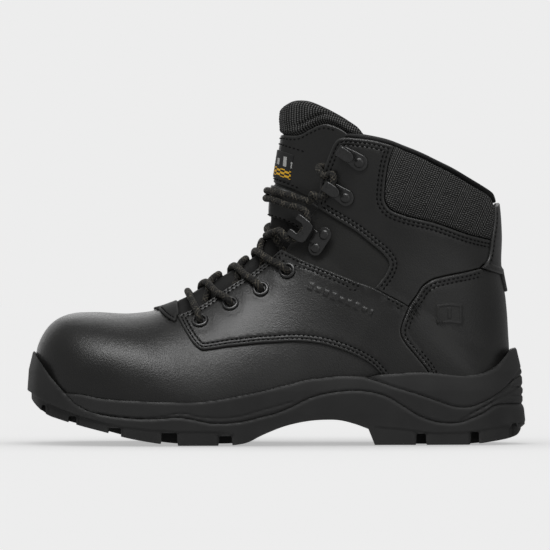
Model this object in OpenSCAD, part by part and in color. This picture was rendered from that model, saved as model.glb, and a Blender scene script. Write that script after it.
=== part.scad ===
/* [Boot] */
// Thickness of the outer leather
leather = 1.8; // [1.4:0.1:1.8]
// Wall of the steel toe cap
cap_wall = 1.6; // [1.2:0.1:1.6]
// Thickness of the removable footbed
footbed_t = 5; // [3:0.5:6]
// Thickness of the collar's foam
collar_foam_t = 3.6; // [2.4:0.2:3.6]

/* [Sole] */
// How far the sole stands out beyond the lasted edge
sole_out = 9; // [8.6:0.2:10]
// Width of the two long grooves in the tread
tread_groove = 5; // [4:1:7]
// Depth of the long grooves in the tread
tread_depth = 6; // [4:0.5:7]

/* [Lacing] */
// Radius of an eyelet's flange
eyelet_r = 4.8; // [4.4:0.1:5]
// Radius of an eyelet's bore
eyelet_bore = 2.9; // [2.7:0.1:3]
// Diameter of the round lace
lace_d = 4; // [3.6:0.2:4]

/* [Hidden] */
$fn = 32;
gap = 0.2;

// ---------------------------------------------------------------- the boot's base skin
// The upper is drawn on one base skin, the inside of the lining.
// Rings run from the toe tip to the collar. Each ring lies in a plane square to the side
// view, from its top point F on the instep or tongue line to its foot B on the lasted edge
// or the heel line. Its half width follows a cubic curve from 0 at F to the foot's width at B.
// Columns: F x, F z, B x, B z, upper and lower fullness and foot half width on the lateral
// side, the same three on the medial side, sideways shift of the top, tuck at the foot.
RINGS = [
    [-142.5,  44.0, -141.0, 28.0, 10, 10,  1.0, 10, 12, 15.0, 6.0, 0.10],
    [-144.8,  54.0, -137.5, 27.0, 26, 25, 21.0, 26, 27, 31.0, 5.5, 0.10],
    [-142.5,  63.0, -131.0, 26.3, 36, 34, 29.0, 36, 36, 36.5, 5.0, 0.10],
    [-136.5,  71.5, -122.5, 25.5, 46, 43, 35.5, 45, 42, 39.5, 4.4, 0.10],
    [-127.0,  76.0, -112.5, 24.4, 53, 49, 40.5, 50, 46, 41.5, 3.6, 0.10],
    [-112.0,  77.0,  -98.0, 23.0, 56, 53, 44.5, 52, 50, 42.5, 2.4, 0.10],
    [ -91.0,  76.2,  -80.0, 21.8, 54, 57, 47.2, 51, 54, 45.2, 1.2, 0.10],
    [ -71.0,  79.2,  -62.0, 21.0, 43, 59, 48.8, 42, 56, 45.8, 0.4, 0.10],
    [ -50.0,  87.5,  -40.0, 21.2, 31, 60, 47.0, 30, 57, 42.2, 0.0, 0.10],
    [ -27.0, 100.0,  -10.0, 26.0, 26, 56, 42.0, 25, 51, 32.0, 0.0, 0.10],
    [  -8.0, 112.0,   24.0, 34.0, 25, 48, 35.5, 25, 44, 26.5, 0.0, 0.08],
    [   2.6, 127.5,   62.0, 37.5, 28, 41, 31.0, 28, 40, 26.5, 0.0, 0.06],
    [   3.2, 136.0,   98.0, 37.3, 31, 40, 29.0, 31, 39, 27.5, 0.0, 0.05],
    [   3.2, 142.0,  124.0, 37.3, 33, 42, 23.5, 33, 41, 23.0, 0.0, 0.03],
    [   3.2, 146.0,  134.5, 39.5, 34, 46, 12.0, 34, 45, 12.0, 0.0, 0.01],
    [   3.4, 150.0,  138.8, 50.0, 35, 48,  0.0, 35, 48,  0.0, 0.0, 0.00],
    [   4.4, 158.0,  138.2, 70.0, 36, 47,  0.0, 36, 47,  0.0, 0.0, 0.00],
    [   5.6, 166.0,  136.6, 90.0, 37, 46,  0.0, 37, 46,  0.0, 0.0, 0.00],
    [   7.0, 175.0,  133.2, 110.0, 38, 47, 0.0, 38, 47,  0.0, 0.0, 0.00],
    [   8.6, 185.0,  133.4, 130.0, 40, 50, 0.0, 40, 50,  0.0, 0.0, 0.00],
    [   9.8, 194.0,  132.2, 148.0, 41, 52, 0.0, 41, 52,  0.0, 0.0, 0.00],
    [  10.6, 203.0,  130.0, 164.0, 42, 53, 0.0, 42, 53,  0.0, 0.0, 0.00],
    [  11.4, 212.0,  127.0, 180.0, 42, 53, 0.0, 42, 53,  0.0, 0.0, 0.00]
];
last = len(RINGS) - 1;
heel_ring = 15;

function clamp(v, a, b) = min(max(v, a), b);
function mix(a, b, t) = a + (b - a) * t;
function fade(v, a, b) = let (t = clamp((v - a) / (b - a), 0, 1)) t * t * (3 - 2 * t);
function unit(v) = v / norm(v);
function moved(list, dx, dz) = [for (p = list) [p.x + dx, p.y + dz]];
function backwards(list) = [for (i = [len(list) - 1 : -1 : 0]) list[i]];
function spline(a, b, c, d, t) =
    0.5 * (2 * b + (c - a) * t + (2 * a - 5 * b + 4 * c - d) * t * t + (3 * b - a - 3 * c + d) * t * t * t);
// Values of the ring at any place u between the stations
function ring(u) =
    let (i = clamp(floor(u), 0, last - 1))
    spline(RINGS[max(i - 1, 0)], RINGS[i], RINGS[i + 1], RINGS[min(i + 2, last)], u - i);
function bez(s, a, b, c) = 3 * (1 - s) * (1 - s) * s * a + 3 * (1 - s) * s * s * b + s * s * s * c;
function down(r, s) = bez(s, 0, 1 - r[11], 1);
// The point of ring row r at s, from 0 at the top to 1 at the foot. side is -1 lateral, 1 medial.
function on_ring(r, s, side) =
    let (k = side < 0 ? 4 : 7, t = down(r, s), w = bez(s, r[k], r[k + 1], max(r[k + 2], 0)))
    [mix(r[0], r[2], t), r[10] * (1 - s * s * s) + side * max(w, 0), mix(r[1], r[3], t)];
function base_at(u, s, side) = on_ring(ring(u), s, side);
step_u = 0.04;
step_s = 0.02;
// Outward normal of the base skin
function normal(u, s, side) =
    let (
        along = base_at(min(u + step_u, last), s, side) - base_at(max(u - step_u, 0), s, side),
        lower = base_at(u, min(s + step_s, 1), side),
        upper = s < step_s ? base_at(u, step_s - s, -side) : base_at(u, s - step_s, side)
    )
    unit(-side * cross(lower - upper, along));
function lifted(u, s, side, h) = base_at(u, s, side) + h * normal(u, s, side);

// Where a side-view point (x, z) lies on the base skin, as [u, s]
function beyond(r, x, z) = (r[2] - r[0]) * (z - r[1]) - (r[3] - r[1]) * (x - r[0]);
function seek_u(x, z, a, b, n) =
    let (m = (a + b) / 2)
    n == 0 ? m : beyond(ring(m), x, z) > 0 ? seek_u(x, z, m, b, n - 1) : seek_u(x, z, a, m, n - 1);
function seek_s(r, t, a, b, n) =
    let (m = (a + b) / 2)
    n == 0 ? m : down(r, m) < t ? seek_s(r, t, m, b, n - 1) : seek_s(r, t, a, m, n - 1);
function find(x, z) =
    let (
        u = seek_u(x, z, 0, last, 16),
        r = ring(u),
        run = [r[2] - r[0], r[3] - r[1]],
        t = ([x - r[0], z - r[1]] * run) / (run * run)
    )
    [u, seek_s(r, clamp(t, 0, 1), 0, 1, 14)];
// The same for a point seen on the surface lifted by h
function find_at(x, z, side, h) =
    let (a = find(x, z), d = lifted(a[0], a[1], side, h) - base_at(a[0], a[1], side))
    find(x - d.x, z - d.z);

// ---------------------------------------------------------------- solids bounded by the base skin
rows = concat([0, 0.5], [for (u = [1 : 0.5 : 8]) u], [for (u = [9 : 1 : 12]) u],
    [for (u = [12.5 : 0.5 : 16]) u], [for (u = [17 : 1 : last]) u]);
cols = 8;
function share(j) = pow(j / cols, 0.85);
function loop(u, h) = concat(
    [for (j = [cols : -1 : 0]) lifted(u, share(j), -1, h)],
    [for (j = [1 : cols]) lifted(u, share(j), 1, h)]
);
// Closed skin over a stack of loops of equal length, each end closed by rungs across its loop
module stack(loops) {
    n = len(loops[0]);
    m = len(loops);
    points = [for (l = loops) each l];
    rungs = [
        for (j = [0 : floor((n - 1) / 2) - 1])
            let (b = j + 1, c = n - 2 - j, d = n - 1 - j)
            each b == c ? [[b, j, d]] : [[b, j, d], [b, d, c]]
    ];
    faces = concat(
        [
            for (i = [0 : m - 2]) for (j = [0 : n - 1])
                let (a = i * n + j, b = i * n + (j + 1) % n)
                each j < n / 2 ? [[a, b, b + n], [a, b + n, a + n]] : [[a, b, a + n], [b, b + n, a + n]]
        ],
        rungs,
        [for (r = rungs) [r[2] + (m - 1) * n, r[1] + (m - 1) * n, r[0] + (m - 1) * n]]
    );
    polyhedron(points, faces, convexity = 12);
}
// Everything inside the base skin lifted by h
module volume(h) {
    stack([for (u = rows) loop(u, h)]);
}
// Keeps its child's size, and makes its cuts one skin
module one_skin() {
    resize([0, 0, 0]) union() children();
}
// A side-view outline cut through the boot from y0 to y1
module cut(outline, y0 = -90, y1 = 90) {
    translate([0, y1, 0]) rotate([90, 0, 0]) linear_extrude(y1 - y0) polygon(outline);
}
// One piece of the upper between two lifts of the base skin, cut to a side-view outline
module panel(outline, h0, h1, side = 0, holes = false) {
    one_skin() difference() {
        intersection() {
            difference() {
                volume(h1);
                volume(h0);
            }
            cut(outline, side > 0 ? 0.15 : -90, side < 0 ? -0.15 : 90);
        }
        if (holes && side <= 0) bores(-1);
        if (holes && side >= 0) bores(1);
    }
}

// ---------------------------------------------------------------- lifts of the layers
lining_h = [0, 1.2];
mid_h = [1.4, 3.0];
base_h = [3.2, 3.2 + leather];
top_h = [5.2, 5.2 + leather];
face = top_h[1];

// ---------------------------------------------------------------- outlines seen from the side
FLOOR = [
    [-150, 30], [-141, 29.8], [-131, 28.2], [-112, 26.3], [-98, 25], [-80, 23.8], [-62, 23], [-40, 23.4],
    [-10, 28.2], [24, 36], [62, 39.5], [98, 39.5], [124, 39.6], [134.5, 42], [150, 53]
];
VAMP_REAR = [
    [77, 41], [76, 50], [65, 58], [54, 64.5], [43, 69], [32, 72], [20, 73.5], [0, 73.5], [-20, 72],
    [-38, 69.5], [-44, 70.5], [-48.5, 76], [-50.5, 82.5]
];
QUARTER_LOW = [
    [68, 41.5], [60, 50], [50, 56], [40, 60], [30, 63], [20, 64.5], [10, 65], [0, 64.5], [-10, 64], [-20, 63],
    [-30, 62], [-40, 60.5], [-46, 60.2], [-50, 63], [-55, 70], [-61, 80.6]
];
FACING = [[-53, 83.7], [-46.4, 86.8], [-36, 93.5], [-25.8, 100.2], [-15.1, 106.5], [-5, 114], [3.7, 121.7]];
QUARTER_TOP = [
    [3.7, 121.7], [10, 118.5], [20, 113.8], [30, 110], [40, 106], [50, 102], [62, 97.5], [70, 93.2], [80, 88],
    [83, 86]
];
HEEL_FRONT = [[97, 41], [95, 46], [88, 55], [80, 65], [78, 70], [79, 76], [83, 86]];
HEEL_TOP = [[88, 93], [92, 99], [98, 103], [105, 105], [120, 108], [128, 110]];
STAY_FRONT = [[132, 114], [134, 120], [135, 127.4]];
EYESTAY = [[26, 148], [27, 155], [28, 165], [30, 172], [33, 180], [36, 187], [39, 190.6], [45, 191.6]];
COLLAR_TOP = [[60, 190], [72, 187]];
PAD_FRONT = [
    [74, 186], [71, 178], [69, 168], [68, 158], [68, 152], [71, 147], [80, 143], [100, 138],
    [120, 131], [135, 127]
];
PAD_TOP = [
    [137.5, 149], [134, 155], [130, 157.7], [120, 163.7], [110, 169.7], [100, 174.7], [90, 179.7], [80, 183.7]
];
INSET = [[62, 97.9], [69, 107], [71, 113], [68, 118], [60, 125], [50, 133], [42, 138], [35, 142], [27, 147]];
COUNTER = [[78, 40], [77, 50.6], [66, 58.6], [62, 75], [72, 97], [95, 112], [160, 118]];
throat_x = -66.5;

// The throat's edges step back layer by layer, square to the skin
function facing_at(h) = moved(FACING, (face - h) * 0.3, -(face - h) * 0.6);
function eyestay_at(h) = moved(EYESTAY, (face - h) * 0.2, 0);

// ---------------------------------------------------------------- sole
// The lasted edge spread by out, and further at the toe and the heel
function spread(u, side, out) =
    let (
        p = base_at(u, 1, side),
        q = base_at(min(u + step_u, heel_ring), 1, side) - base_at(max(u - step_u, 0), 1, side),
        n = unit([side * -q.y, side * q.x, 0]),
        e = out + 5 * fade(2.2 - u, 0, 2.2) + 8.4 * fade(u, 12.6, 14.6)
    )
    [p.x + e * n.x, p.y + e * n.y];
// The wall leans out above the tread, to stand clear of the upper over the arch and round the heel
function proud(u, side, z) =
    fade(z, 8, 40) * fade(u, 6.5, 9) * (1 - fade(u, 13.2, 14.4))
        * (side < 0 ? 2.6 : 5 - 1.75 * fade(u, 10, 11.5));
edge_rows = concat([0, 0.35, 0.7], [for (u = [1 : 1 : 12]) u], [12.5, 13, 13.4, 13.8, 14.2, 14.6]);
function rim(out, z) = concat(
    [for (u = edge_rows) let (p = spread(u, 1, out + proud(u, 1, z))) [p.x, p.y, z]],
    [for (u = backwards(edge_rows)) let (p = spread(u, -1, out + proud(u, -1, z))) [p.x, p.y, z]]
);
LEVELS = [[-2, -1.2], [8, -0.4], [20, 0.2], [27, 0.3], [34, 0.4], [40, 0], [46, -0.4], [62, -4.2]];
module sole_volume() {
    stack([for (l = LEVELS) rim(sole_out + l[1], l[0])]);
}
// The room that the upper takes in the sole
module upper_space() {
    volume(base_h[1] + gap);
    intersection() {
        volume(face + gap);
        cut(concat(
            moved([for (i = [1 : 15]) QUARTER_LOW[i]], -0.3, -0.3),
            [[-61, 200], [170, 200], [170, 20], [56, 20], [56, 50]]
        ));
    }
}
GROOVE = [
    [-110, 19.5], [-100, 18], [-90, 17], [-80, 16.5], [-70, 17], [-60, 17.5], [-50, 16], [-40, 14], [-30, 14],
    [-20, 15], [-10, 17.5], [0, 20], [10, 24], [20, 29], [30, 32], [40, 33.5], [50, 34], [60, 33], [70, 30],
    [80, 24], [90, 18], [100, 14.5], [108, 13.5], [115, 14], [120, 15.5], [130, 20], [136, 24], [140, 25],
    [160, 25]
];
BUMPER = [[-165, 57], [-151, 57], [-140, 42], [-131, 32], [-125, 26], [-118, 22]];
TREAD = [
    [160, 12], [155, 11], [151.6, 6], [147, 4], [130, 1], [120, 0], [62, 0], [58, 10], [50, 13], [40, 15.5],
    [30, 15.8], [20, 15], [9, 12.8], [2, 10.6], [-9, 6], [-17, 2], [-25, 0.4], [-36, 0], [-60, 0], [-80, 2.4],
    [-96, 5.6], [-105, 8], [-121, 12], [-135, 16], [-143, 19], [-152, 27], [-154, 31], [-165, 33]
];
// Slots from each side of the tread in to the rill beside its middle bar: x from, x to, top z
SLOTS = [
    [-146, -143.3, 24.5], [-129, -124, 18], [-104, -96, 11], [-71, -61, 8], [-35, -27, 6],
    [88, 94, 7], [122, 127, 8], [147.5, 151, 13]
];
FEATHER = [
    [57, 42.5], [40, 43], [30, 42], [20, 41], [10, 38.5], [0, 36], [-10, 33.5], [-20, 31.5], [-30, 29.5],
    [-40, 28], [-50, 27], [-70, 27.2], [-90, 28], [-100, 28.5], [-110, 29.5], [-120, 31.5], [-131, 32.3]
];
CUP_LOW = [
    [57, 42], [65, 39.5], [75, 36], [90, 31.5], [100, 28], [110, 24.5], [117, 23.5], [122, 24], [130, 27],
    [140, 33], [150, 41], [165, 46]
];
CUP_TOP = [
    [165, 60], [148, 59], [143, 54], [138, 49], [130, 45], [120, 43.5], [110, 44], [90, 45.5], [75, 44.5],
    [65, 44]
];
SHANK = [[-36, 21.2], [-10, 25.4], [24, 33.4], [62, 36.9], [74, 37]];

module outsole() {
    color([0.06, 0.06, 0.065]) one_skin() difference() {
        intersection() {
            sole_volume();
            cut(concat(BUMPER, GROOVE, TREAD));
        }
        upper_space();
        for (s = SLOTS, y = [-90, 13])
            translate([s[0], y, -1]) cube([s[1] - s[0], y < 0 ? 75 : 77, s[2] + 1]);
        for (y = [-15, 13]) {
            translate([-128, y - tread_groove / 2, -1]) cube([103, tread_groove, tread_depth + 5]);
            translate([62, y * 0.75 - tread_groove / 2, -1]) cube([84, tread_groove, tread_depth + 1]);
        }
    }
}
module midsole() {
    color([0.07, 0.07, 0.075]) one_skin() difference() {
        intersection() {
            sole_volume();
            cut(concat(
                [[-131, 32.3], [-125, 26.3], [-118, 22.3]],
                moved(GROOVE, 0, 0.3),
                moved(backwards(CUP_LOW), 0, -0.3),
                FEATHER
            ));
        }
        upper_space();
        cut(concat(moved(SHANK, 0, 0.4), moved(backwards(SHANK), 0, -1.8)), -8.2, 8.2);
    }
}
module heel_stabiliser() {
    color([0.05, 0.05, 0.055]) one_skin() difference() {
        intersection() {
            sole_volume();
            cut(concat(CUP_LOW, CUP_TOP));
        }
        upper_space();
        cut(concat(moved(SHANK, 0, 0.4), moved(backwards(SHANK), 0, -1.8)), -8.2, 8.2);
    }
}
module shank() {
    color([0.5, 0.5, 0.52]) cut(concat(SHANK, moved(backwards(SHANK), 0, -1.4)), -8, 8);
}
// A slab on the boot's floor, from c0 to c1 above it
module slab(from, to, inset, c0, c1) {
    us = concat([from], [for (u = [ceil(from + 0.2) : 1 : floor(to - 0.2)]) u], [to]);
    stack([
        for (u = us)
            let (a = base_at(u, 1, -1), b = base_at(u, 1, 1))
            [
                [a.x, a.y + inset, a.z + c0], [a.x, a.y + inset, a.z + c1],
                [a.x, b.y - inset, a.z + c1], [a.x, b.y - inset, a.z + c0]
            ]
    ]);
}
module insole_board() {
    color([0.75, 0.68, 0.55]) slab(0.1, 14.3, 0.4, 0.2, 2.2);
}
module footbed_foam() {
    color([0.2, 0.2, 0.22]) slab(0.5, 14.2, 0.8, 2.5, 1.4 + footbed_t);
}
module footbed_cover() {
    color([0.12, 0.12, 0.13]) slab(0.5, 14.2, 0.8, 1.5 + footbed_t, 2.5 + footbed_t);
}

// ---------------------------------------------------------------- upper
module steel_toe_cap() {
    color([0.55, 0.56, 0.58]) panel(
        [[-170, 29.8], [-141, 29.8], [-131, 28.2], [-112, 26.3], [-98, 25],
            [-98, 60], [-93, 100], [-170, 100]],
        mid_h[0], mid_h[0] + cap_wall
    );
}
module heel_counter() {
    color([0.62, 0.6, 0.55]) panel(
        concat(moved(COUNTER, 0.3, 0), [[160, 60], [150, 53], [134.5, 42], [124, 39.8], [98, 39.8]]),
        mid_h[0], base_h[1]
    );
}
module lining() {
    color([0.1, 0.1, 0.11]) panel(
        concat(
            FLOOR, [[160, 60], [160, 147]], moved(PAD_TOP, 0, -0.4), [[72, 186.6], [60, 189.6], [46, 191]],
            backwards(eyestay_at(1)), [[18.5, 138], [11.5, 127]], backwards(facing_at(1)),
            [[-59, 76.5], [throat_x, 74], [throat_x, 110], [-170, 110]]
        ),
        lining_h[0], lining_h[1], 0, true
    );
}
module vamp() {
    color([0.13, 0.13, 0.135]) panel(
        concat(
            [[-160, 30]], [for (i = [1 : 10]) FLOOR[i]], VAMP_REAR,
            [[-60, 79], [throat_x, 77.5], [throat_x, 110], [-170, 110], [-170, 30]]
        ),
        base_h[0], base_h[1], 0, true
    );
}
module ankle_panel(side) {
    panel(
        concat(
            [[65.5, 59.2], [60, 62.2]], moved([for (i = [4 : 12]) VAMP_REAR[i]], 0.4, 0.5),
            [for (i = [1 : 6]) facing_at(2.6)[i]],
            [[10.7, 127.5], [17.6, 138]], eyestay_at(4.4),
            [[60, 189.6], [72, 186], [69.4, 178], [67.4, 168], [66.4, 158], [66.4, 152]],
            moved([PAD_FRONT[5], PAD_FRONT[6], PAD_FRONT[7], PAD_FRONT[8]], 0, -1.6),
            [[133, 125.5], [160, 121.5], [160, 118.5], [94.8, 112.6], [71.6, 97.6], [61.7, 75]]
        ),
        mid_h[0] + 0.1, base_h[1], side, true
    );
}
module ankle_panel_lateral() {
    color([0.17, 0.17, 0.17]) ankle_panel(-1);
}
module ankle_panel_medial() {
    color([0.17, 0.17, 0.17]) ankle_panel(1);
}
module quarter(side) {
    panel(concat(QUARTER_LOW, FACING, QUARTER_TOP, backwards(HEEL_FRONT)), top_h[0], top_h[1], side, true);
}
module quarter_lateral() {
    color([0.13, 0.13, 0.135]) quarter(-1);
}
module quarter_medial() {
    color([0.13, 0.13, 0.135]) quarter(1);
}
module shaft_panel(side) {
    panel(
        concat(
            EYESTAY, COLLAR_TOP, PAD_FRONT, [[134.7, 126.8], [133.7, 120.2], [131.7, 114.4]],
            moved(backwards(HEEL_TOP), -0.2, 0.4), [[82.7, 86.6], [80, 88.4], [70, 93.6]], INSET
        ),
        top_h[0], top_h[1], side, true
    );
}
module shaft_panel_lateral() {
    color([0.13, 0.13, 0.135]) shaft_panel(-1);
}
module shaft_panel_medial() {
    color([0.13, 0.13, 0.135]) shaft_panel(1);
}
module heel_panel() {
    color([0.13, 0.13, 0.135]) panel(
        concat(
            moved(HEEL_FRONT, 0.4, 0), moved(HEEL_TOP, 0, -0.4),
            [[160, 109.4], [160, 60], [150, 53], [134.5, 42], [124, 39.8]]
        ),
        top_h[0], top_h[1]
    );
}
module backstay() {
    color([0.11, 0.11, 0.115]) panel(
        concat(
            [[128.5, 110]], moved(STAY_FRONT, 0.2, 0), [[137.9, 140], [138.4, 148.6], [160, 152], [160, 110]]
        ),
        top_h[0], top_h[1] + 1.6
    );
}
module collar_foam() {
    color([0.25, 0.25, 0.26]) panel(
        concat(
            moved(PAD_FRONT, 0.4, 0.4), [[160, 123], [160, 146], [137.5, 148.5]], moved(PAD_TOP, 0, -0.6)
        ),
        mid_h[0], mid_h[0] + collar_foam_t
    );
}
module collar_mesh() {
    color([0.1, 0.1, 0.105]) panel(
        concat(
            moved([for (i = [0 : 8]) PAD_FRONT[i]], 0.4, 0.4), [[134.6, 127.7], [137.3, 140], [137.8, 148]],
            moved(PAD_TOP, -0.3, -0.3)
        ),
        top_h[0], top_h[1] + 1
    );
}
module collar_binding() {
    color([0.08, 0.08, 0.085]) panel(
        concat(
            [[42, 193.2], [46, 193.8], [60, 192.2], [72, 189.4]], moved(backwards(PAD_TOP), 0.6, 2.2),
            [[160, 148.5], [160, 147.3]], PAD_TOP, [[74, 186.3], [72, 187.3], [60, 190.3], [45, 191.9]]
        ),
        lining_h[0], base_h[1]
    );
}
module throat_tab() {
    color([0.11, 0.11, 0.115]) panel(
        [
            [-74, 100], [-73, 84], [-68, 80.5], [-63, 77.5], [-61.8, 78.6], [-61.6, 80.9], [-60.2, 81.5],
            [-61.2, 88], [-63, 100]
        ],
        top_h[0], top_h[1] - 0.2
    );
}

// ---------------------------------------------------------------- tongue
tongue_t = 6;
tongue_dip = -11.8;
tongue_cut = 16.45;
tongue_from = 7.66;
WING = [[7.5, 0.3], [8, 0.32], [10, 0.30], [14, 0.31], [18, 0.32], [20, 0.35], [22, 0.41]];
SHOULDER = [
    [7.5, 0.2], [8, 0.205], [9, 0.185], [10, 0.172], [12, 0.18], [14, 0.2], [18, 0.25], [20, 0.28], [22, 0.32]
];
function wing(u) = lookup(u, WING);
function shoulder(u) = lookup(u, SHOULDER);
// Lift of the tongue's outer face: proud on the centre line, sunk inside the facings
function tongue_top(u, s) = tongue_t + tongue_dip * fade(s, 0.015, shoulder(u));
// Thickness of the whole tongue: padded in the middle, thin at the wings
function tongue_depth(u, s) = mix(tongue_t, 2.6, fade(s, 0.03, shoulder(u)));
across = 5;
// A strip of the tongue between fractions a and b of its depth, counted from the outside
module tongue_strip(u0, u1, a, b, reach = 1, n = across) {
    us = concat([u0], [for (u = [ceil(u0 + 0.2) : 1 : u1 - 0.2]) u], [u1]);
    stack([
        for (u = us)
            let (
                top = [
                    for (j = [-n : n])
                        let (s = abs(j) / n * wing(u) * reach)
                        lifted(u, s, j < 0 ? -1 : 1, tongue_top(u, s) - a * tongue_depth(u, s))
                ],
                under = [
                    for (j = [n : -1 : -n])
                        let (s = abs(j) / n * wing(u) * reach)
                        lifted(u, s, j < 0 ? -1 : 1, tongue_top(u, s) - b * tongue_depth(u, s))
                ]
            )
            concat(top, under)
    ]);
}
module tongue_lower_leather() {
    color([0.12, 0.12, 0.125]) tongue_strip(tongue_from, tongue_cut - 0.08, 0, 0.27);
}
module tongue_lower_padding() {
    color([0.2, 0.2, 0.21]) tongue_strip(tongue_from, tongue_cut - 0.08, 0.34, 1);
}
module tongue_band() {
    color([0.11, 0.11, 0.115]) tongue_strip(13, tongue_cut - 0.12, -0.26, -0.13, 0.6, 3);
}
module tongue_upper_leather() {
    color([0.12, 0.12, 0.125]) tongue_strip(tongue_cut + 0.08, 20.2, 0, 0.27);
}
module tongue_upper_padding() {
    color([0.2, 0.2, 0.21]) tongue_strip(tongue_cut + 0.08, 20.2, 0.34, 1);
}
module tongue_top_roll() {
    color([0.1, 0.1, 0.105]) tongue_strip(20.25, last, -0.1, 1.1);
}
module tongue_label() {
    color([0.8, 0.8, 0.78]) tongue_strip(17, 19, -0.24, -0.12, 0.4, 2);
}

// ---------------------------------------------------------------- lacing hardware
EYELETS = [[-47, 77.5], [-28, 88], [-9, 97], [7.5, 108.5]];
lock_at = [20, 133];
lock_tilt = -31;
lock_rivets = [[11, 5], [10.6, -5.4]];
SPEED = [[52.5, 176, -32], [44, 154, -32]];
rivet_r = 1.3;

// Places its child on the lateral or medial face at (x, z), its own z outward, its x at angle a
module on_face(x, z, side, a, h) {
    f = find_at(x, z, side, face);
    n = normal(f[0], f[1], side);
    o = base_at(f[0], f[1], side) + h * n;
    d = [cos(a), 0, sin(a)];
    ex = unit(d - (d * n) * n);
    ey = cross(n, ex);
    multmatrix([
        [ex.x, ey.x, n.x, o.x],
        [ex.y, ey.y, n.y, o.y],
        [ex.z, ey.z, n.z, o.z],
        [0, 0, 0, 1]
    ]) mirror([0, side > 0 ? 1 : 0, 0]) children();
}
module bores(side) {
    for (e = EYELETS) on_face(e.x, e.y, side, 0, -6) cylinder(r = eyelet_bore + 0.8, h = face + 12, $fn = 12);
    on_face(lock_at.x, lock_at.y, side, lock_tilt, -6)
        for (r = lock_rivets) translate([r.x, r.y, 0]) cylinder(r = rivet_r + 0.3, h = face + 12, $fn = 8);
    for (s = SPEED) on_face(s[0], s[1], side, s[2], -6) cylinder(r = rivet_r + 0.3, h = face + 12, $fn = 8);
}
module eyelet() {
    rotate_extrude($fn = 48) polygon([
        [eyelet_bore, -1.1], [eyelet_bore + 1.4, -1.1], [eyelet_bore + 1.4, -0.65], [eyelet_bore + 0.6, -0.6],
        [eyelet_bore + 0.6, face + 0.45], [eyelet_r, face + 0.45],
        [eyelet_r, face + 0.8], [eyelet_r - 0.4, face + 1.2],
        [eyelet_r - 1, face + 1.3], [eyelet_bore + 0.3, face + 1], [eyelet_bore, face + 0.6]
    ]);
}
module eyelets(side) {
    for (e = EYELETS) on_face(e.x, e.y, side, 0, 0) eyelet();
}
module eyelets_lateral() {
    color([0.09, 0.09, 0.1]) eyelets(-1);
}
module eyelets_medial() {
    color([0.09, 0.09, 0.1]) eyelets(1);
}
plate_t = 0.9;
hook_room = 4.6;
// Thickness profile of a strip folded back over itself, fold at x = 0, open towards +x
module fold(base_to, tab_to) {
    r = hook_room / 2;
    union() {
        translate([0, r + plate_t]) difference() {
            circle(r = r + plate_t);
            circle(r = r);
            translate([0, -20]) square([40, 40]);
        }
        translate([-0.01, 0]) square([base_to, plate_t]);
        translate([-0.01, hook_room + plate_t]) square([tab_to, plate_t]);
    }
}
module teardrop(r1, r2, run) {
    circle(r = r1);
    translate([-run, 0]) circle(r = r2);
    a = acos((r1 - r2) / run);
    polygon([
        [r1 * cos(180 - a), r1 * sin(180 - a)], [-run + r2 * cos(180 - a), r2 * sin(180 - a)],
        [-run + r2 * cos(180 - a), -r2 * sin(180 - a)], [r1 * cos(180 - a), -r1 * sin(180 - a)]
    ]);
}
// Speed hook: a riveted teardrop plate whose front end folds back over the lace
module speed_hook() {
    difference() {
        intersection() {
            linear_extrude(9) teardrop(5.2, 3.4, 12.5);
            translate([-12.6, 10, 0]) rotate([90, 0, 0]) linear_extrude(20) fold(20, 8.6);
        }
        translate([0, 0, -1]) cylinder(r = rivet_r + 0.2, h = 4);
    }
}
module speed_hooks(side) {
    for (s = SPEED) on_face(s[0], s[1], side, s[2], face + 0.5) speed_hook();
}
module speed_hooks_lateral() {
    color([0.07, 0.07, 0.08]) speed_hooks(-1);
}
module speed_hooks_medial() {
    color([0.07, 0.07, 0.08]) speed_hooks(1);
}
// Lock hook: a plate on two rivets that rises to two arms over the lace
module lock_hook() {
    room = hook_room + 0.3;
    difference() {
        union() {
            for (r = lock_rivets) translate([r.x, r.y, 0]) cylinder(r = 4.4, h = plate_t);
            translate([3.2, -4, 0]) cube([7.6, 8, plate_t]);
            translate([3.2, -4, 0]) cube([plate_t, 8, room + plate_t]);
            translate([-1.6, -7.4, room]) cube([5.7, 14.8, plate_t]);
            for (k = [-1, 1]) translate([-8.6, k * 5.6 - 2, room]) cube([8, 4, plate_t]);
            for (k = [-1, 1]) translate([-8.6, k * 5.6 - 2, 2.4]) cube([plate_t, 4, room - 2.3]);
        }
        for (r = lock_rivets) translate([r.x, r.y, -1]) cylinder(r = rivet_r + 0.2, h = 4);
    }
}
module lock_hook_lateral() {
    color([0.07, 0.07, 0.08]) on_face(lock_at.x, lock_at.y, -1, lock_tilt, face + 0.3) lock_hook();
}
module lock_hook_medial() {
    color([0.07, 0.07, 0.08]) on_face(lock_at.x, lock_at.y, 1, lock_tilt, face + 0.3) lock_hook();
}
// Rivet with a domed head on the plate, a shank through the upper and a washer inside
module rivet(head_z, foot_z) {
    rotate_extrude($fn = 32) polygon([
        [0, foot_z - 0.7], [3, foot_z - 0.7], [3, foot_z - 0.1], [rivet_r, foot_z], [rivet_r, head_z],
        [2.9, head_z], [2.8, head_z + 0.5], [2.3, head_z + 1], [1.4, head_z + 1.3], [0, head_z + 1.4]
    ]);
}
module hook_rivets(side) {
    on_face(lock_at.x, lock_at.y, side, lock_tilt, 0)
        for (r = lock_rivets) translate([r.x, r.y, 0]) rivet(face + 0.3 + plate_t + 0.05, -3.2);
    for (s = SPEED) on_face(s[0], s[1], side, s[2], 0) rivet(face + 0.5 + plate_t + 0.05, -1);
}
module hook_rivets_lateral() {
    color([0.07, 0.07, 0.08]) hook_rivets(-1);
}
module hook_rivets_medial() {
    color([0.07, 0.07, 0.08]) hook_rivets(1);
}

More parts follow.
